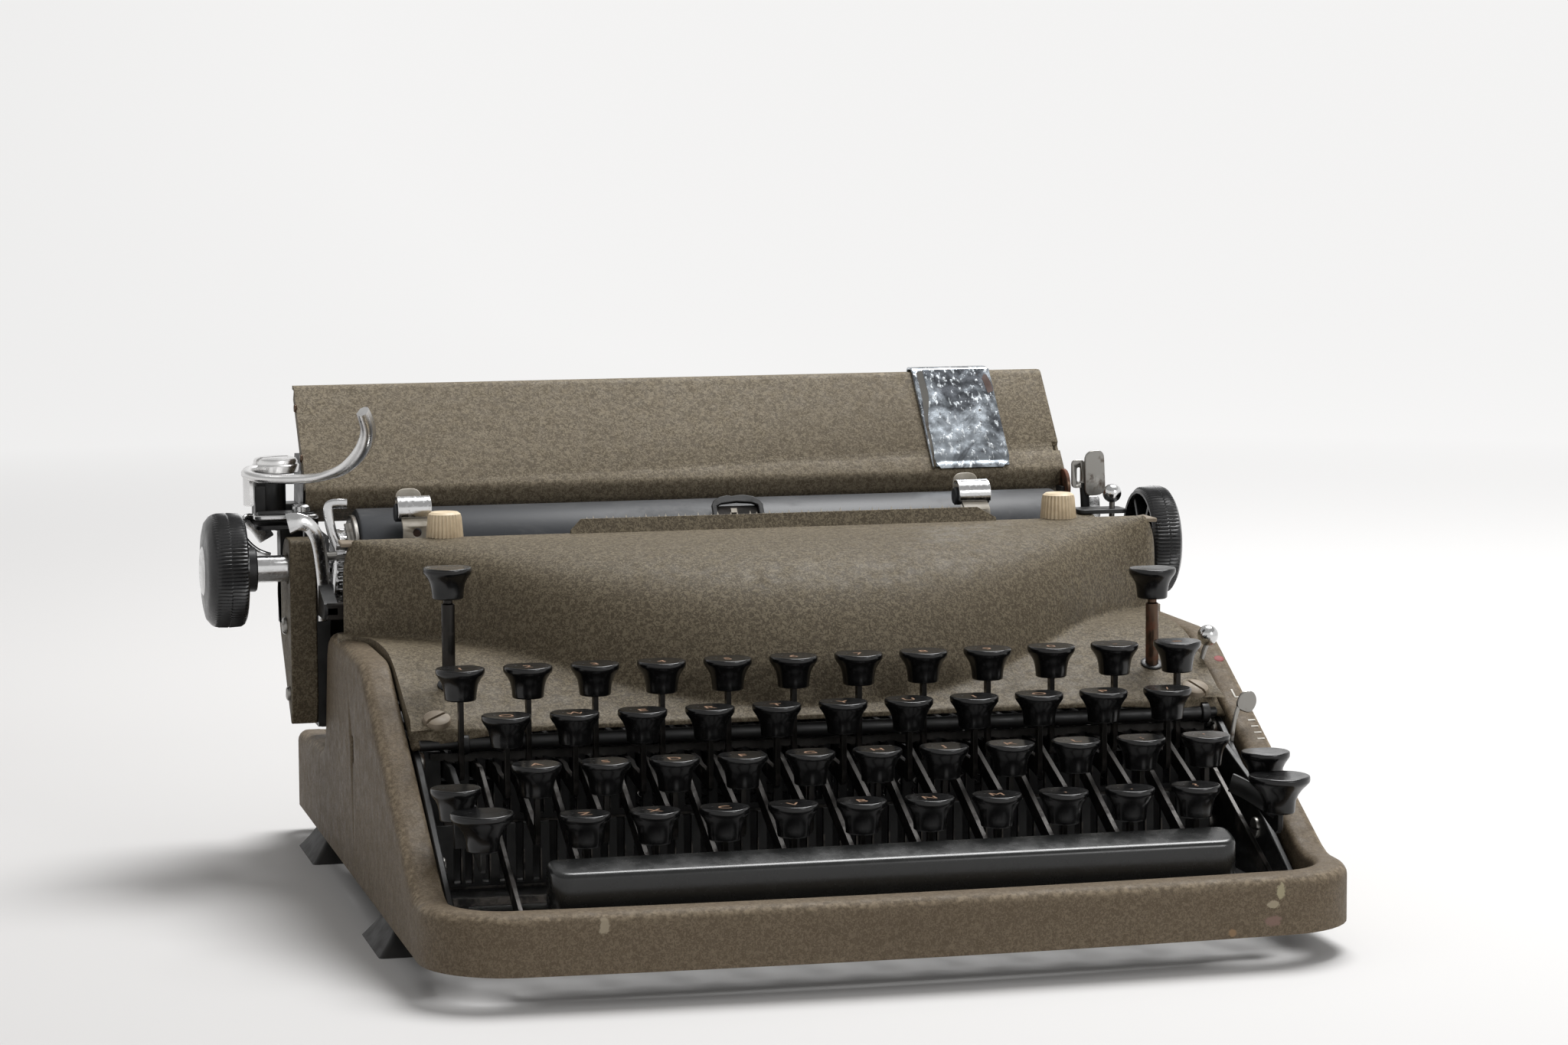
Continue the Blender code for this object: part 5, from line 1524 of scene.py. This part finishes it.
def build_guide_face(margin, steps):
    """The front face of the side guide, with rounded lower corners and a curled lower edge."""
    columns = 12
    points = []
    for layer in (0.0, 0.55):
        for step in range(steps + 1):
            share = step / steps
            below = max(0.0, (0.08 - share) / 0.08)
            corner = 2.2 * (1 - math.sqrt(1 - below ** 2))
            left = GUIDE_LEFT + margin[step] + corner
            right = GUIDE_RIGHT - corner
            curl = 1.5 * max(0.0, 1 - share / 0.07) ** 2
            for column in range(columns + 1):
                x = left + (right - left) * column / columns
                y, z = table_place(guide_share(share), -2.3 + layer + curl)
                points.append((x, y, z))
    width = columns + 1
    size = width * (steps + 1)
    faces = []
    for step in range(steps):
        for column in range(columns):
            low = step * width + column
            quad = [low, low + 1, low + width + 1, low + width]
            faces += [quad, [index + size for index in quad]]
    border = [column for column in range(columns)] + [step * width + columns for step in range(steps)]
    border += [steps * width + columns - column for column in range(columns)]
    border += [(steps - step) * width for step in range(steps)]
    for index, start in enumerate(border):
        end = border[(index + 1) % len(border)]
        faces.append([start, end, end + size, start + size])
    piece("paper_guide_face", (points, faces), guide_plate, "paper_guide", sharp=50)


def build_guide_flange(margin, steps):
    """The bent margin at the side guide's left, from its wavy fold back to the paper table."""
    points = []
    for step in range(steps + 1):
        share = guide_share(step / steps)
        fold = GUIDE_LEFT + margin[step]
        section = ((fold + 0.3, -2.3), (GUIDE_LEFT, -0.35), (GUIDE_LEFT + 0.35, -0.2), (fold + 0.6, -1.9))
        points += [(x, *table_place(share, depth)) for x, depth in section]
    piece("paper_guide_flange", (points, tube_faces(4, steps + 1)), steel, "paper_guide", sharp=50)


def build_platen():
    left = -118.0
    right = 104.0
    profile = [(left, 0), (left, PLATEN_RADIUS - 0.8), (left + 0.3, PLATEN_RADIUS - 0.2),
               (left + 0.8, PLATEN_RADIUS), (right - 0.8, PLATEN_RADIUS), (right - 0.3, PLATEN_RADIUS - 0.2),
               (right, PLATEN_RADIUS - 0.8),
               (right, 0)]
    piece("platen_roller", lathe(profile, 96, "X", PLATEN_CENTRE), rubber, "platen", ["platen"])
    ends = []
    for start, end in ((left - 1.6, left - 0.1), (right + 0.05, right + 0.5)):
        ends.append(rod("X", PLATEN_CENTRE, 15.6, start, end, 64))
    piece("platen_end_discs", join(*ends), steel, "platen")
    shaft = rod("X", PLATEN_CENTRE, 4.1, -155.0, 139.0, 40, 0.4)
    piece("platen_shaft", shaft, bright, "platen")
    outline = wheel_outline((PLATEN_Y, PLATEN_Z), 24, ((0.0, 11.5), (0.30, 11.5), (0.45, 9.6), (0.85, 9.4)))
    piece("platen_ratchet", prism(outline, "X", -125.0, -120.4), bright, "platen", bevel=0.15, bevel_steps=1)
    piece("platen_ratchet_rim", rod("X", PLATEN_CENTRE, 13.2, -120.4, -119.7, 48, 0.15), chassis_black,
          "platen")


def build_knobs():
    flutes = 90
    left = [(-164.6, 0), (-164.6, 7.6), (-164.5, 8.2), (-164.4, 8.6), (-164.2, 12.6), (-163.7, 14.8),
            (-162.4, 16.4), (-161.6, 16.9), (-160.2, 17.3), (-157.6, 17.4), (-157.3, 17.1), (-157.0, 17.4),
            (-153.6, 17.2), (-152.6, 16.6), (-152.0, 15.4), (-151.9, 7.4), (-151.5, 6.8), (-148.9, 6.8),
            (-148.5, 6.4), (-148.5, 4.3), (-154, 4.3),
            (-154, 0)]
    piece("knob_left_body", lathe(left, 4 * flutes, "X", PLATEN_CENTRE, (flutes, 0.55, {8, 9, 11, 12})),
          knob_black, "platen", ["platen_knob_left"])
    disc = lathe([(-165.38, 0), (-165.34, 3.0), (-165.2, 5.4), (-164.95, 6.8), (-164.6, 7.4), (-164.3, 7.4),
                  (-164.3, 0)], 48, "X",
                 PLATEN_CENTRE)
    piece("knob_left_disc", disc, bright, "platen")
    right = [(142.7, 0), (142.7, 13.6), (142.3, 15.4), (141.4, 16.7), (140.0, 17.3), (138.2, 17.4),
             (137.9, 17.1), (137.6, 17.4), (133.9, 17.1), (133.3, 16.4), (132.7, 15.9), (132.8, 15.0),
             (139.6, 14.6), (140.1, 14.0), (140.2, 7.0), (139.8, 6.8), (131.4, 6.8), (130.9, 6.3),
             (130.9, 4.3), (139.4, 4.3), (139.4, 0)]
    piece("knob_right_body", lathe(right, 4 * flutes, "X", PLATEN_CENTRE, (flutes, 0.55, {4, 5, 7, 8})),
          knob_black, "platen", ["platen_knob_right"])
    spokes = []
    for index in range(6):
        spoke = block((133.8, 140.3), (PLATEN_Y + 6.5, PLATEN_Y + 14.9), (PLATEN_Z - 0.8, PLATEN_Z + 0.8))
        spokes.append(turned_about(spoke, "X", 60 * index, PLATEN_CENTRE))
    piece("knob_right_spokes", join(*spokes), knob_black, "platen", bevel=0.2)


def build_return_lever():
    pivot_x = -139.0
    pivot_y = 240.0
    base = 119.2
    hub = lathe([(base, 0), (base, 7.0), (base + 0.3, 7.3), (base + 2.4, 7.3), (base + 2.8, 7.0),
                 (base + 2.8, 0)], 40, "Z",
                (pivot_x, pivot_y, 0))
    piece("return_lever_hub", hub, lever_plate, "carriage_return_lever", ["carriage_return_lever"])
    piece("return_lever_screw", screw_head((pivot_x, pivot_y, base + 2.8), "Z", 1, 6.6, 2.0, 25), lever_plate,
          "carriage_return_lever")
    line = smooth_line([(-141.5, 239, 120.8), (-147.0, 236.0, 120.6), (-148.9, 230.0, 119.8),
                        (-145.8, 224.8, 119.0), (-138.5, 223.0, 118.6), (-131.0, 221.2, 118.8),
                        (-126.0, 218.6, 119.9), (-121.2, 214.8, 122.2), (-117.2, 211.0, 126.4),
                        (-115.2, 207.8, 130.8), (-115.0, 205.0, 135.4),
                        (-116.8, 202.4, 140.4)], 6)
    count = len(line)
    scales = []
    for index in range(count):
        share = index / (count - 1)
        swell = min(1.0, max(0.0, (share - 0.50) / 0.25))
        thin = max(0.0, (share - 0.82) / 0.18)
        scales.append(1.0 + 0.72 * swell * swell * (3 - 2 * swell) - 0.40 * thin)
    piece("return_lever_arm", sweep(flat_section(3.4, 2.4, 0.7), line, (0, 0, 1), scales), lever_plate,
          "carriage_return_lever", sharp=50)
    skirt = smooth_line([(-147.4, 238.4, 114.9), (-149.4, 232.0, 114.7), (-148.0, 227.0, 115.1)], 5)
    piece("return_lever_skirt", sweep(flat_section(1.2, 9.8, 0.4), skirt, (0, 0, 1)), lever_plate,
          "carriage_return_lever")


def build_left_fittings():
    """The small levers, links and pawls between the left end cover and the platen."""
    foot = rounded_outline([(-147.5, 221), (-128.5, 221), (-126.5, 236), (-131, 246), (-147.5, 246)], 3.0, 4)
    piece("bracket_foot_plate", prism(foot, "Z", 103.2, 104.8), chassis_black, "carriage", bevel=0.3)
    link_outline = rounded_outline([(-148.4, 219.5), (-128.8, 218.5), (-127.6, 226), (-134, 231),
                                    (-147.4, 230)], 3.0, 4)
    piece("bracket_link", prism(link_outline, "Z", 106.6, 107.9), bright, "carriage", bevel=0.3)
    top_outline = rounded_outline([(-147.0, 220.6), (-129.8, 219.8), (-128.8, 226), (-134.6, 230),
                                   (-146.4, 229)], 2.6, 4)
    piece("bracket_link_top", prism(top_outline, "Z", 107.8, 108.4), chassis_black, "carriage", bevel=0.15)
    profile = [(103.4, 0), (103.4, 1.8), (108.6, 1.8), (108.6, 2.9), (110.2, 2.9), (110.6, 2.4), (110.6, 0)]
    piece("bracket_link_pivot", lathe(profile, 28, "Z", (-133.2, 223.6, 0)), bright, "carriage")
    thumb = [(-139.8, 203, 107.0), (-137.0, 202.2, 107.6), (-133.6, 202.2, 106.2), (-131.2, 202.6, 102.0),
             (-129.9, 203.6, 95.0), (-129.0, 204.6, 86.0), (-128.8, 205.6, 77.0)]
    scales = [1.0 - 0.30 * min(1.0, index / 10) for index in range(5 * (len(thumb) - 1) + 1)]
    strip("left_thumb_lever", (6.4, 1.3, 0.4), thumb, (0, -1, 0.3), bright, scales=scales)
    strip("left_release_hook", (3.0, 1.2, 0.35),
          [(-121.3, 208.2, 112.0), (-125.8, 208.4, 112.0), (-127.0, 208.4, 110.0), (-126.0, 208, 103.4),
           (-124.0, 207.6, 97.8), (-124.8, 207, 92.4), (-125.8, 206.4, 84.8)], (0, -1, 0), bright)
    strip("ratchet_pawl", (2.4, 1.2, 0.35),
          [(-121.8, 203.6, 106.6), (-120.6, 203.4, 100.2), (-121.6, 203.0, 93.4), (-122.6, 202.8, 85.6),
           (-122.2, 203.4, 79.0)], (0, -1, 0), steel)
    pins = join(rod("X", (0, 206.0, 96.5), 1.3, -130.6, -119.4, 16),
                rod("X", (0, 205.4, 80.5), 1.5, -131.0, -118.0, 16))
    piece("left_lever_pins", pins, steel, "carriage")
    strip("knob_release_lever", (5.2, 1.3, 0.4),
          [(-142.0, 243, 98.6), (-145.4, 238, 103.2), (-149.2, 234, 105.4), (-151.2, 232, 103.6),
           (-149.8, 230.6, 99.4), (-146.6, 229.8, 96.2), (-142.8, 230, 94.6)], (0, 1, 0.2), bright)


def build_right_fittings():
    outline = rounded_outline([(118.0, 105.6), (125.0, 106.4), (124.4, 120.8), (118.0, 120.2)], 2.9, 6)
    piece("right_thumb_plate", prism(outline, "Y", 224.0, 225.2), steel, "carriage", bevel=0.3)
    outline = rounded_outline([(114.2, 108.4), (118.6, 108.4), (118.6, 117.4), (114.2, 117.4)], 1.4, 3)
    slotted = piece("right_slotted_plate", prism(outline, "Y", 226.0, 227.0), steel, "carriage", bevel=0.2)
    slot = rounded_outline([(115.9, 110.4), (117.2, 110.4), (117.2, 115.0), (115.9, 115.0)], 0.5, 2)
    cut_from(slotted, prism(slot, "Y", 224, 230))
    strip("right_plate_arm", (2.9, 1.3, 0.35),
          [(118.4, 226.6, 110.0), (118.8, 226.6, 104.6), (118.9, 227.0, 98.0), (117.0, 227.4, 94.0)],
          (0, -1, 0), chassis_black)
    outline = rounded_outline([(119.8, 98.4), (124.6, 98.4), (124.2, 105.4), (119.8, 105.4)], 1.0, 3)
    piece("right_rear_plate", prism(outline, "Y", 228.0, 229.0), bright, "carriage", bevel=0.2)
    piece("right_ball", ball((124.0, 214.6, 107.6), 3.0), bright, "carriage")
    stem = wire([(124.0, 214.6, 105.0), (124.0, 214.8, 101.4), (124.0, 215.6, 97.4), (122.6, 217, 94.6)], 0.9,
                10)
    piece("right_ball_stem", stem, steel, "carriage")
    disc = rod("X", (0, 223.6, 109.4), 5.6, 110.2, 111.4, 36, 0.2)
    piece("right_end_disc", disc, rusty_steel, "carriage")
    piece("right_disc_arm", block((109.0, 110.4), (220.6, 226.6), (98.0, 109.6)), chassis_black, "carriage",
          bevel=0.3)
    outline = rounded_outline([(111.6, 209.5), (127.6, 209.5), (127.6, 219.5), (111.6, 219.5)], 2.0, 3)
    piece("right_bracket", prism(outline, "Z", 101.6, 103.0), chassis_black, "carriage", bevel=0.3)


def build_fingers():
    """Each finger is a bent strip with a hole, a rolled top over a rubber roller, and a round ear."""
    for side, x, centre in (("left", -101.0, -102.6), ("right", 72.0, 72.8)):
        body = "paper_finger_" + side
        foot = block((x - 3.35, x + 3.35), (190.2, 194.8), (84.3, 87.3))
        piece("finger_foot_" + side, foot, bright, body, [body], bevel=0.2)
        bent = sheet_outline([(191.2, 85.0), (191.2, 105.0), (191.7, 106.4), (193.0, 107.4), (194.8, 108.4)],
                             0.9)
        front = piece("finger_strip_" + side, prism(bent, "X", centre - 4.05, centre + 4.05), cut_metal, body,
                      sharp=50)
        cut_from(front, rod("Y", (centre + 0.2, 0, 104.4), 1.35, 185, 192.6, 20, 0.1))
        pin = rod("Y", (centre + 0.2, 0, 104.0), 1.3, 192.2, 193.4, 18)
        piece("finger_pin_" + side, pin, rust_patch, body)
        roll = []
        for step in range(15):
            angle = math.radians(205 - 150 * step / 14)
            roll.append((198.4 + 4.6 * math.cos(angle), 110.4 + 4.5 * math.sin(angle)))
        roll_outline = sheet_outline(roll, 0.9)
        piece("finger_roll_" + side, prism(roll_outline, "X", centre - 5.1, centre + 5.1), bright, body,
              bevel=0.2,
              sharp=50)
        roller = lathe([(-5.6, 0), (-5.6, 2.4), (-5.2, 2.8), (5.2, 2.8), (5.6, 2.4), (5.6, 0)], 32, "X",
                       (centre, 199.2, 109.8))
        piece("finger_roller_" + side, roller, rubber, body)
        ear = rounded_outline([(centre - 4.6, 109.0), (centre + 3.4, 109.0), (centre + 3.4, 116.6),
                               (centre - 4.6, 116.6)], [0.4, 0.4, 3.2, 3.2],
                              6)
        piece("finger_ear_" + side, prism(ear, "Y", 203.2, 204.0), cut_metal, body, bevel=0.2)


def build_spools():
    for side, x, y, top in (("left", -95.6, 182.0, 111.4), ("right", 95.8, 181.6, 111.7)):
        profile = [(top - 9.8, 0), (top - 9.8, 5.3), (top - 9.3, 5.75), (top - 1.6, 5.1), (top - 0.6, 4.8),
                   (top, 4.0), (top + 0.1, 0)]
        flutes = 28
        knob = lathe(profile, 6 * flutes, "Z", (x, y, 0), (flutes, 0.5, {2, 3}))
        piece("spool_knob_" + side, knob, tan, "machine")
        piece("spool_post_" + side, rod("Z", (x, y, 0), 1.8, 56.0, top - 9.0), steel, "machine")
        drum = lathe([(87.0, 0), (87.0, 8.0), (87.5, 8.0), (87.5, 6.4), (95.5, 6.4), (95.5, 8.0), (96.0, 8.0),
                      (96.0, 0)], 40, "Z",
                     (x, y - 1.0, 0))
        piece("ribbon_spool_" + side, drum, dust_felt, "machine")
        base = block((x - 7, x + 7), (y - 16, y + 4), (53.8, 56.4))
        inner = block(sorted((x, 117.2 * (1 if x > 0 else -1))), (y - 14, y - 9), (53.9, 56.2))
        piece("spool_base_" + side, join(base, inner), chassis_black, "machine", bevel=0.4)
    for side, direction in (("left", -1), ("right", 1)):
        outline = [(direction * 127.2, 179.0), (direction * 126.6, 190.6), (direction * 115.4, 181.4)]
        plate = prism(outline, "Z", 101.9, 103.2)
        piece("cover_corner_plate_" + side, plate, tan_paint, "machine", bevel=0.4)
        post = block(sorted((direction * 121.0, direction * 124.6)), (181.5, 184.5), (75.0, 102.0))
        piece("cover_corner_post_" + side, post, chassis_black, "machine", bevel=0.3)


def build_casing_fittings():
    piece("ribbon_ball", ball((121.0, 114.0, 75.0), 3.1), bright, "machine")
    stem = wire([(121.0, 114, 73.0), (119.6, 114.4, 69.0), (118.2, 115, 60.0), (117.8, 115.5, 54.5)], 0.8, 10)
    piece("ribbon_ball_stem", stem, steel, "machine")
    slope = math.degrees(math.atan2(SHOULDER_TOP - FRONT_RAIL_TOP, SHOULDER_Y - SLOPE_FRONT_Y))
    fin = rounded_outline([(119.8, 57.2), (124.6, 55.2), (126.8, 58.8), (125.6, 62.2), (121.6, 62.0)], 2.2, 5)
    piece("touch_lever", prism(fin, "Y", 86.4, 87.4), steel, "machine", bevel=0.3)
    stem = smooth_line([(121.4, 87.0, 58.4), (120.2, 86.6, 55.6), (119.3, 86.2, 52.0), (118.6, 86.0, 46.5),
                        (118.4, 86.0, 40.8)], 5)
    piece("touch_lever_stem", sweep(flat_section(1.3, 0.8, 0.25), stem, (0, -1, 0)), steel, "machine")
    marks = []
    for index in range(4):
        y = 89.3 - index * 2.7
        mark = turned_about(block((-1.1, 1.1), (-0.28, 0.28), (0.0, 0.05)), "X", slope)
        marks.append(moved(mark, (125.9, y, casing_top(y) + 0.02)))
    for x_range, y_range in (((-1.6, -1.1), (-1.9, 1.9)), ((-1.6, 0.6), (-2.3, -1.8))):
        mark = turned_about(block(x_range, y_range, (0.0, 0.05)), "X", slope)
        marks.append(moved(mark, (125.9, 101.4, casing_top(101.4) + 0.02)))
    piece("touch_scale_marks", join(*marks), white_paint, "machine")
    speck = lathe([(0.0, 0), (0.0, 1.5), (0.06, 1.4), (0.08, 0)], 14, "Z", (0, 0, 0))
    speck = turned_about(speck, "X", slope)
    piece("red_paint_speck", moved(speck, (125.6, 117.0, casing_top(117.0) + 0.02)), red_paint, "machine")


def build_drive():
    """The mainspring drum and the escapement at the rear, which the photograph doesn't show."""
    drum = lathe([(0, 0), (0, 15.5), (0.6, 16.0), (2.0, 16.0), (2.4, 15.4), (6.6, 15.4), (7.0, 16.0),
                  (8.4, 16.0), (9.0, 15.5), (9.0, 3.0), (10.4, 3.0), (10.4, 0)], 56, "Z", (-84, 236, 17.0))
    piece("mainspring_drum", drum, chassis_black, "machine")
    piece("drum_screw", screw_head((-84, 236, 27.2), "Z", 1, 3.6, 1.4, 40), steel, "machine")
    strap = block((-88, -80), (210, 258), (14.0, 17.2))
    piece("drum_strap", join(strap, block((-88, -80), (208.5, 213), (14.0, 29)),
                             block((-88, -80), (256.5, 261), (14.0, 29))), chassis_black, "machine",
          bevel=0.4)
    outline = wheel_outline((2.3, 49.0), 18, ((0.0, 5.6), (0.25, 6.6), (0.4, 6.6), (0.6, 5.6)))
    piece("escape_wheel", prism(outline, "Y", 247.4, 249.2), bright, "machine")
    piece("escape_wheel_hub", rod("Y", (2.3, 0, 49.0), 3.0, 243.0, 256.4, 28, 0.3), steel, "machine")
    bracket = join(block((-3.0, 7.6), (250.0, 256.5), (33, 43.5)),
                   block((-1.0, 5.6), (250.0, 253.4), (43, 50.6)))
    piece("escapement_bracket", bracket, chassis_black, "machine", bevel=0.5)
    lines = []
    for x in (-60, -20, 45, 80):
        lines.append(block((x - 1.2, x + 1.2), (176, 209), (29, 34)))
    piece("basket_links", join(*lines), dark_steel, "machine", bevel=0.3)


bpy.context.scene.view_settings.view_transform = "Standard"
add_camera()
add_light()
add_stage()
build_casing()
build_cover()
build_keys()
build_space_bar()
build_chassis()
build_carriage_frame()
build_paper_table()
build_paper_guide()
build_platen()
build_knobs()
build_return_lever()
build_left_fittings()
build_right_fittings()
build_fingers()
build_spools()
build_casing_fittings()
build_drive()
